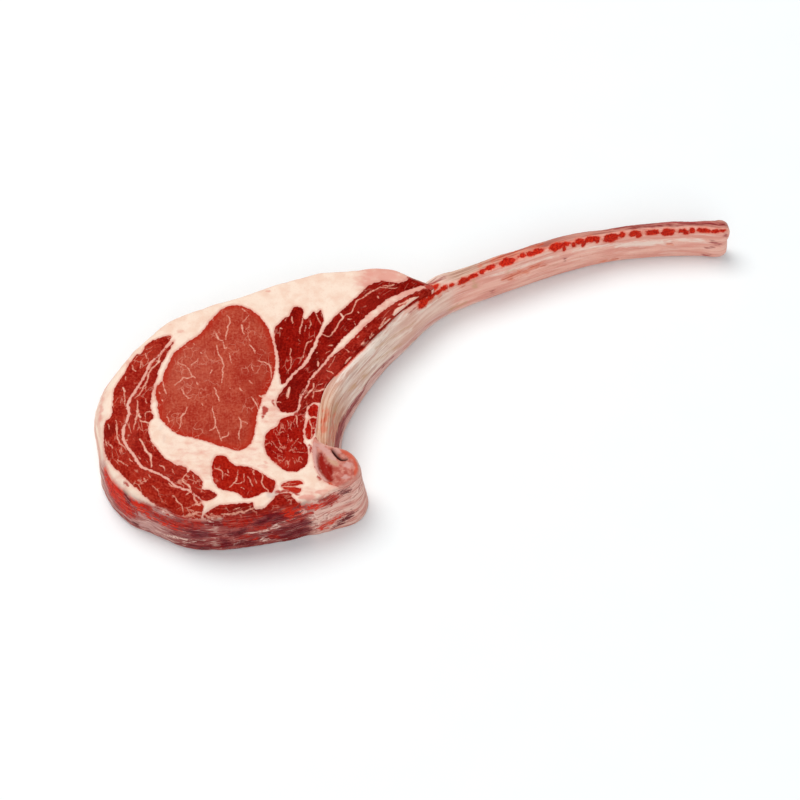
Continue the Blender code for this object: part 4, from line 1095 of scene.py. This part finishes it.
# ------------------------------------------------------------------------- materials
class Graph:
    """Shorthand for one node material. A plain colour is written as three screen values."""

    def __init__(self, name, specular):
        self.material = bpy.data.materials.new(name)
        self.material.use_nodes = True
        self.tree = self.material.node_tree
        self.shader = self.tree.nodes["Principled BSDF"]
        self.shader.inputs["Specular IOR Level"].default_value = specular
        self.place = self.scaled(self.put("TexCoord", {}, "Object"), 1 / MM, 1 / MM, 1 / MM)

    def put(self, kind, inputs, output=0, **settings):
        node = self.tree.nodes.new("ShaderNode" + kind)
        for key, value in settings.items():
            setattr(node, key, value)
        for slot, value in inputs.items():
            if isinstance(value, bpy.types.NodeSocket):
                self.tree.links.new(value, node.inputs[slot])
            else:
                node.inputs[slot].default_value = value
        return node.outputs[output]

    def scaled(self, vector, x, y, z):
        return self.put("VectorMath", {0: vector, 1: (x, y, z)}, operation="MULTIPLY")

    def number(self, name):
        return self.put("Attribute", {}, "Fac", attribute_name=name)

    def vector(self, name):
        return self.put("Attribute", {}, "Vector", attribute_name=name)

    def parts(self, name):
        split = self.put("SeparateXYZ", {0: self.vector(name)}, "X").node
        return split.outputs["X"], split.outputs["Y"], split.outputs["Z"]

    def math(self, operation, a, b):
        return self.put("Math", {0: a, 1: b}, operation=operation)

    def add(self, a, b):
        return self.math("ADD", a, b)

    def less(self, a, b):
        return self.math("SUBTRACT", a, b)

    def times(self, a, b):
        return self.math("MULTIPLY", a, b)

    def ramp(self, value, low, high, top=1.0):
        return self.put("MapRange", {"Value": value, "From Min": low, "From Max": high, "To Max": top},
                        interpolation_type="SMOOTHSTEP")

    def mix(self, factor, a, b):
        a, b = (screen_colour(paint) if isinstance(paint, tuple) else paint for paint in (a, b))
        return self.put("Mix", {0: factor, 6: a, 7: b}, 2, data_type="RGBA")

    def blend(self, value, low, high, a, b):
        """From one colour to another as a value goes from low to high."""
        return self.mix(self.ramp(value, low, high), a, b)

    def cover(self, tone, *coats):
        """Coats laid over a tone: each has a value, its low, its high, its most, and its colour."""
        for value, low, high, most, paint in coats:
            tone = self.mix(self.ramp(value, low, high, most), tone, paint)
        return tone

    def noise(self, vector, size, detail=2.0):
        return self.put("TexNoise", {"Vector": vector, "Scale": 1 / size, "Detail": detail}, "Fac")

    def sway(self, noise, amount):
        """A push to and fro around nothing, worked out of a noise."""
        return self.times(self.less(noise, 0.5), amount)

    def wavy(self, value, size, amount):
        """A mark's depth with its edge frayed by noise."""
        return self.add(value, self.sway(self.noise(self.place, size, 3.0), amount))

    def done(self, tone, grain, spread, rough, height, bump):
        """The finished material, its roughness a little greater where the grain is high."""
        rough = self.add(self.ramp(grain, 0.3, 0.7, spread), rough)
        bumps = {"Height": height, "Strength": bump, "Distance": BUMP_HEIGHT * MM}
        normal = self.put("Bump", bumps, "Normal")
        for slot, value in (("Base Color", tone), ("Roughness", rough), ("Normal", normal)):
            self.tree.links.new(value, self.shader.inputs[slot])
        return self.material


def screen_colour(values):
    """A colour of three screen values as shader values."""
    shares = [v / 255 for v in values]
    return tuple(v / 12.92 if v <= 0.04045 else ((v + 0.055) / 1.055) ** 2.4 for v in shares) + (1.0,)


FAT_GLOSS, MEAT_GLOSS, FLOOR_GLOSS = 0.10, 0.02, 0.1
FLOOR_ROUGHNESS = 0.7
BUMP_HEIGHT = 0.6
FAT_CREAM = (248, 222, 202)
FAT_WARM = (242, 206, 184)
FAT_PINK = (226, 150, 134)
FAT_GREY = (206, 178, 170)
VEIN_PINK = (222, 146, 124)
VEIN_CREAM = (238, 196, 176)
CHANNEL_PINK = (228, 164, 146)
LEAN_SHOWN = (160, 26, 14)
WALL_MAROON = (124, 28, 30)
WALL_DUSTY = (166, 82, 76)
WALL_BROWN = (202, 150, 142)
WALL_LIGHT = (234, 190, 174)
WALL_BLUSH = (214, 142, 128)
RIM_SHADE = (178, 34, 15)
FRAY_SIZE, FRAY_AMOUNT = 2.4, 2.2


def web(g, at, size, amount, threshold):
    """A fine broken net of fat: the borders of warped cells."""
    cloud = g.put("TexNoise", {"Vector": at, "Scale": 1 / (1.6 * size), "Detail": 3.0}, "Color")
    warped = g.put("VectorMath", {0: cloud, 1: (size * 1.6,) * 3, 2: at}, operation="MULTIPLY_ADD")
    cells = g.put("TexVoronoi", {"Vector": warped, "Scale": 1 / size}, "Distance", feature="DISTANCE_TO_EDGE")
    line = g.ramp(cells, 0.30 / size, 0.04 / size)
    part = g.ramp(g.noise(g.place, 2.2 * size, 3.0), threshold, threshold + 0.12)
    return g.times(g.times(line, part), amount)


def frayed(g, depth, amount):
    """Share of the other tissue right at a border, which noise pushes to and fro."""
    sway = g.sway(g.noise(g.place, FRAY_SIZE, 4.0), amount)
    return g.ramp(g.less(depth, sway), 0.30, -0.25)


def wall_tone(g, tone):
    """The outer wall over a tone: cream at the back, streaked layers of meat and fat in front."""
    wall, front, orange = g.parts("wall")
    red, dark, pale = g.parts("wall_mark")
    left, right, _ = g.parts("wall_zone")
    strata = g.vector("strata")
    layer, broad = g.noise(strata, 1.2, 5.0), g.noise(strata, 4.4, 4.0)
    thread = g.noise(g.scaled(strata, 0.7, 2.2, 1.0), 1.1, 4.0)
    speck = g.noise(g.place, 2.2, 2.0)
    back = g.blend(broad, 0.36, 0.66, FAT_CREAM, (232, 176, 158))
    back = g.cover(back, (layer, 0.58, 0.70, 0.5, (214, 128, 110)))
    middle = g.blend(broad, 0.38, 0.60, WALL_MAROON, WALL_DUSTY)
    meat = g.mix(left, middle, g.blend(broad, 0.36, 0.62, WALL_BROWN, WALL_DUSTY))
    meat = g.mix(right, meat, g.blend(broad, 0.36, 0.62, WALL_LIGHT, WALL_BLUSH))
    meat = g.cover(meat, (layer, 0.53, 0.63, 0.65, WALL_LIGHT),
                   (layer, 0.46, 0.36, 0.65, g.mix(right, WALL_MAROON, WALL_DUSTY)))
    sway = g.add(g.sway(layer, 17.0), g.sway(speck, 7.0))
    for depth, deep, full, light in (
            (pale, WALL_DUSTY, WALL_LIGHT, (250, 222, 206)),
            (red, (130, 12, 8), (172, 26, 14), (206, 96, 80)),
            (orange, (166, 8, 1), (212, 34, 10), (224, 92, 62)),
            (dark, (74, 8, 14), (108, 20, 28), (176, 96, 96))):
        body = g.cover(g.blend(speck, 0.30, 0.58, deep, full), (thread, 0.52, 0.63, 0.75, light))
        meat = g.cover(meat, (g.add(depth, sway), -1.2, 1.2, 0.95, body))
    meat = g.cover(meat, (thread, 0.60, 0.72, 0.4, WALL_LIGHT))
    return g.mix(wall, tone, g.mix(front, back, meat))


def fat_material():
    g = Graph("fat", FAT_GLOSS)
    pink, grey, depth = g.parts("fat_tint")
    patchy = g.less(g.noise(g.scaled(g.place, 0.5, 1.0, 1.0), 4.0, 5.0), 0.56)
    tone = g.blend(g.noise(g.place, 9.0, 4.0), 0.38, 0.68, FAT_CREAM, FAT_WARM)
    tone = g.cover(tone, (g.noise(g.place, 1.4, 4.0), 0.52, 0.70, 0.15, FAT_PINK),
                   (g.add(pink, g.times(patchy, 1.9)), 0.1, 1.25, 0.85, FAT_PINK),
                   (g.number("channel"), 1.9, 0.6, 0.75, CHANNEL_PINK), (grey, 0.1, 0.9, 0.8, FAT_GREY),
                   (depth, 1.8, 0.2, 0.55, FAT_PINK))
    meat = g.mix(g.noise(g.place, 2.5, 3.0), (188, 44, 26), (156, 8, 1))
    tone = g.cover(tone, (g.wavy(g.number("lean"), 1.5, 2.0), -0.7, 0.7, 0.92, meat))
    tone = g.mix(frayed(g, depth, -FRAY_AMOUNT), tone, LEAN_SHOWN)
    return g.done(wall_tone(g, tone), g.noise(g.place, 4.0), 0.14, 0.50, g.noise(g.place, 1.6, 4.0), 0.3)


def flesh_material(name, dark, light, pale, deep, net_size, net_amount, threshold, net_along, rim_shade=0.0):
    """Red meat: streaked along its fibres, with veins of fat, fine marbling and a frayed border."""
    g = Graph(name, MEAT_GLOSS)
    grain = g.vector("grain")
    is_dark, is_bright, depth = g.parts("lean_tint")
    streak = g.noise(g.scaled(grain, 0.18, 1.0, 1.0), 1.4, 4.0)
    mottle = g.noise(g.place, 1.5, 3.5)
    tone = g.blend(g.noise(g.place, 11.0, 3.0), 0.35, 0.65, dark, light)
    tone = g.cover(tone, (streak, 0.50, 0.74, 0.55, pale), (mottle, 0.50, 0.66, 0.38, pale),
                   (mottle, 0.50, 0.32, 0.60, deep))
    tone = g.mix(g.times(is_dark, 0.85), tone, deep)
    tone = g.mix(g.times(is_bright, 0.5), tone, pale)
    if rim_shade:
        tone = g.cover(tone, (depth, 6.5, 0.4, rim_shade, RIM_SHADE))
    net = web(g, g.scaled(grain, net_along, 1.0, 1.0), net_size, net_amount, threshold)
    tone = g.mix(net, tone, VEIN_PINK)
    vein = g.wavy(g.number("white"), 1.1, 0.9)
    tone = g.cover(tone, (vein, -0.42, 0.14, 0.95, g.blend(vein, 0.0, 0.6, VEIN_PINK, VEIN_CREAM)))
    tone = g.mix(frayed(g, depth, FRAY_AMOUNT), tone, CHANNEL_PINK)
    return g.done(wall_tone(g, tone), g.noise(g.place, 3.0), 0.16, 0.50, g.add(streak, mottle), 0.35)


def chine_material():
    """The cut backbone: lilac rim, red marrow wedge, pink spongy middle, orange lip, and a near-black red
    crack that is painted shade.
    """
    g = Graph("chine", FAT_GLOSS)
    red, lilac, tan = g.parts("chine")
    brown, orange, slit_shade = g.parts("chine_more")
    mottle = g.noise(g.place, 1.6, 4.0)
    sway = g.sway(g.noise(g.place, 2.2, 5.0), 4.0)
    tone = g.blend(g.noise(g.place, 4.0, 4.0), 0.36, 0.64, (212, 140, 124), (190, 100, 86))
    tone = g.cover(tone, (mottle, 0.54, 0.68, 0.5, (172, 68, 54)))
    for depth, *coat in ((tan, -1.2, 1.0, 0.8, (208, 160, 132)), (brown, -1.4, 1.0, 0.85, (176, 74, 60)),
                         (lilac, -1.2, 0.8, 0.85, (214, 160, 150)), (orange, -0.6, 1.0, 0.85, (204, 84, 58)),
                         (red, -1.4, 1.6, 1.0, (150, 22, 8))):
        tone = g.cover(tone, (g.add(depth, sway), *coat))
    # painted shade: near-black red inside the crack, over the real groove of the cut face
    tone = g.cover(tone, (slit_shade, -0.5, 0.5, 1.0, (60, 10, 10)))
    return g.done(wall_tone(g, tone), mottle, 0.15, 0.48, mottle, 0.5)


def bone_material():
    """The rib: pale membrane beside the meat, scraped pink bone beyond it, red marrow spots."""
    g = Graph("bone", FAT_GLOSS)
    place = g.vector("bone_at")
    s, w, high = g.parts("bone_at")
    dark, warm, pale = g.parts("bone_mark")
    tan, meat, _ = g.parts("bone_more")

    def drawn(along, size, detail):
        """A noise that is stretched along the rib."""
        return g.noise(g.scaled(place, along, 1.0, 0.0), size, detail)

    streak, broad, fine = drawn(0.06, 1.4, 5.0), drawn(0.14, 5.0, 4.0), g.noise(g.place, 1.3, 5.0)
    sway = g.sway(drawn(0.2, 1.2, 6.0), 10.0)

    def streaks(a, b, low=0.4, high=0.6):
        return g.blend(streak, low, high, a, b)

    scraped = g.blend(broad, 0.36, 0.64, (242, 184, 166), (228, 156, 140))
    scraped = g.cover(scraped, (streak, 0.52, 0.68, 0.6, (246, 212, 196)),
                      (streak, 0.46, 0.32, 0.5, (212, 142, 124)))
    beyond, before = streaks((160, 78, 66), (198, 128, 112)), streaks((168, 128, 108), (214, 178, 156))
    on_top = g.times(g.ramp(w, -1.0, -3.4), 0.8)
    scraped = g.mix(on_top, scraped, g.blend(s, 214.0, 190.0, beyond, before))
    membrane = g.blend(broad, 0.36, 0.64, (240, 216, 200), (214, 168, 150))
    calm = g.ramp(s, 92.0, 124.0, 0.55)
    membrane = g.mix(g.less(g.ramp(streak, 0.52, 0.66, 0.7), calm), membrane, (250, 234, 224))
    membrane = g.mix(g.less(g.ramp(streak, 0.48, 0.34, 0.6), calm), membrane, (188, 136, 124))
    membrane = g.mix(calm, membrane, g.blend(broad, 0.36, 0.64, (238, 196, 180), (228, 176, 158)))
    membrane = g.cover(membrane, (high, 16.0, 8.0, 0.7, streaks((206, 134, 122), (226, 184, 178))))
    root = g.times(g.times(g.ramp(s, 52.0, 26.0), g.ramp(high, 10.0, 20.0)), 0.8)
    membrane = g.mix(root, membrane, streaks((196, 126, 92), (222, 176, 146)))
    tone = g.cover(g.mix(meat, scraped, membrane), (fine, 0.58, 0.74, 0.30, (196, 104, 88)))
    stray = g.less(drawn(0.5, 3.0, 5.0), g.noise(place, 5.0, 3.0))
    warm = g.add(warm, g.times(stray, 9.0))
    for depth, *coat in ((pale, -1.8, 2.2, 0.7, (248, 230, 216)), (tan, -1.8, 2.2, 0.75, (206, 156, 120)),
                         (warm, -2.4, 2.8, 0.85, streaks((196, 74, 44), (232, 140, 112), 0.4, 0.58)),
                         (dark, -1.8, 2.2, 0.9, streaks((122, 4, 18), (176, 70, 70)))):
        tone = g.cover(tone, (g.add(depth, sway), *coat))
    marrow = g.wavy(g.number("marrow"), 1.2, 1.6)
    spot = g.blend(fine, 0.36, 0.64, (214, 44, 16), (172, 16, 2))
    tone = g.cover(tone, (marrow, -2.2, -0.3, 0.7, (230, 124, 100)), (marrow, -0.9, 0.1, 1.0, spot))
    return g.done(tone, streak, 0.15, 0.46, g.add(streak, fine), 0.45)


def floor_material():
    g = Graph("floor", FLOOR_GLOSS)
    g.shader.inputs["Roughness"].default_value = FLOOR_ROUGHNESS
    tone = g.mix(g.noise(g.place, 40.0), (250, 251, 251), (253, 254, 254))
    g.tree.links.new(tone, g.shader.inputs["Base Color"])
    return g.material


# ------------------------------------------------------------------ building the pieces
# Each red piece: darker, lighter, palest and deepest tone, then the size, strength, threshold
# and stretch of its fine marbling, and how much its border darkens
PALETTES = {
    "eye_muscle": ((170, 52, 35), (182, 72, 51), (200, 104, 82), (152, 30, 17), 6.0, 0.5, 0.50, 0.8, 0.7),
    "cap_muscle_outer": ((150, 20, 9), (168, 38, 22), (190, 74, 54), (112, 7, 2), 5.0, 0.7, 0.50, 0.45),
    "cap_muscle_inner": ((144, 16, 7), (162, 32, 18), (186, 66, 48), (106, 7, 2), 5.0, 0.75, 0.49, 0.45),
    "complexus_muscle": ((146, 10, 3), (163, 20, 8), (184, 48, 32), (112, 5, 1), 3.0, 0.6, 0.50, 0.45),
    "multifidus_muscle": ((154, 14, 4), (168, 26, 10), (188, 52, 34), (118, 8, 2), 4.4, 0.5, 0.52, 0.45),
    "spine_muscle": ((170, 26, 11), (188, 42, 24), (202, 72, 54), (134, 12, 3), 3.0, 0.6, 0.50, 0.45),
    "wedge_muscle": ((128, 7, 1), (150, 13, 3), (174, 38, 24), (90, 3, 1), 5.0, 0.5, 0.53, 0.4),
    "edge_muscle": ((154, 9, 2), (176, 20, 6), (196, 46, 28), (122, 5, 1), 4.0, 0.3, 0.56, 0.5),
    "rib_muscle_outer": ((122, 6, 1), (142, 13, 4), (172, 44, 30), (88, 3, 1), 4.4, 0.35, 0.54, 0.3),
    "rib_muscle_inner": ((134, 12, 4), (158, 28, 15), (186, 66, 50), (98, 6, 2), 4.4, 0.45, 0.53, 0.3),
    "front_muscle": ((136, 12, 4), (158, 26, 13), (186, 62, 48), (100, 7, 3), 4.0, 0.6, 0.50, 0.45),
}


def grain_of(form, name):
    """Coordinates along and across a piece's fibres, for its material."""
    x, y = form.points[:, 0], form.points[:, 1]
    if name in RIMWARD:
        return columns(form.along, -form.arc, 0 * x)
    return columns(*turned(x, y, FIBRES.get(name, 0)), 0 * x)


def show(piece, node):
    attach(piece, "root")
    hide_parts(node)


def build_slice():
    form = Slice()
    owner = form.owner_of_columns()
    shared = slice_marks(form)
    for number, name in enumerate(NAMES):
        top, wall, seam, foot = form.piece_faces(number, owner)
        marks = {**shared, "grain": grain_of(form, name)}
        if name == "fat_body":
            material = fat_material()
        elif name == "backbone":
            material = chine_material()
            marks.update(chine_marks(form))
        else:
            material = flesh_material(name, *PALETTES[name])
        groups = [top, wall, seam, foot]
        piece = mesh_piece(name + "_look", form.points, groups, SEAM, marks, material, form.normals)
        show(piece, name)


# Soft lamps: name, place, size, power, colour
LIGHTS = (
    ("key", (-1.0, 1.0, 3.0), 2.2, 66, (1.0, 0.985, 0.97)),
    ("fill", (0.4, -2.6, 2.2), 2.6, 34, (0.93, 0.98, 1.0)),
)
SKY, SKY_STRENGTH = (0.91, 0.97, 1.0, 1), 0.43
FLOOR_HALF = 4           # metres, as the rest of the studio
CAMERA_DISTANCE, CAMERA_ELEVATION = 1.5, math.radians(55)
CAMERA_TARGET = Vector((-0.01635, -0.0217, 0.020))
LENS, SENSOR = 96.43, 36


def add_light(name, place, size, power, tone):
    lamp = bpy.data.lights.new(name, "AREA")
    lamp.shape = "DISK"
    lamp.size, lamp.energy, lamp.color = size, power, tone
    holder = bpy.data.objects.new(name, lamp)
    holder.location = place
    holder.rotation_euler = (-Vector(place)).to_track_quat("-Z", "Y").to_euler()
    bpy.context.scene.collection.objects.link(holder)


def build_studio():
    mesh = bpy.data.meshes.new("floor")
    corners = [(FLOOR_HALF * x, FLOOR_HALF * y, 0) for x, y in ((-1, -1), (1, -1), (1, 1), (-1, 1))]
    mesh.from_pydata(corners, [], [(0, 1, 2, 3)])
    placed("floor", mesh, floor_material())
    for light in LIGHTS:
        add_light(*light)
    world = bpy.data.worlds.new("studio")
    world.use_nodes = True
    backdrop = world.node_tree.nodes["Background"].inputs
    backdrop["Color"].default_value = SKY
    backdrop["Strength"].default_value = SKY_STRENGTH
    bpy.context.scene.world = world
    bpy.context.scene.view_settings.view_transform = "Standard"


def build_camera():
    camera = bpy.data.cameras.new("camera")
    camera.lens, camera.sensor_width = LENS, SENSOR
    holder = bpy.data.objects.new("camera", camera)
    backward = Vector((0, -math.cos(CAMERA_ELEVATION), math.sin(CAMERA_ELEVATION)))
    holder.location = CAMERA_TARGET + CAMERA_DISTANCE * backward
    holder.rotation_euler = (math.pi / 2 - CAMERA_ELEVATION, 0, 0)
    bpy.context.scene.collection.objects.link(holder)
    bpy.context.scene.camera = holder


def main():
    build_slice()
    show(build_rib(), "rib_bone")
    build_studio()
    build_camera()


main()
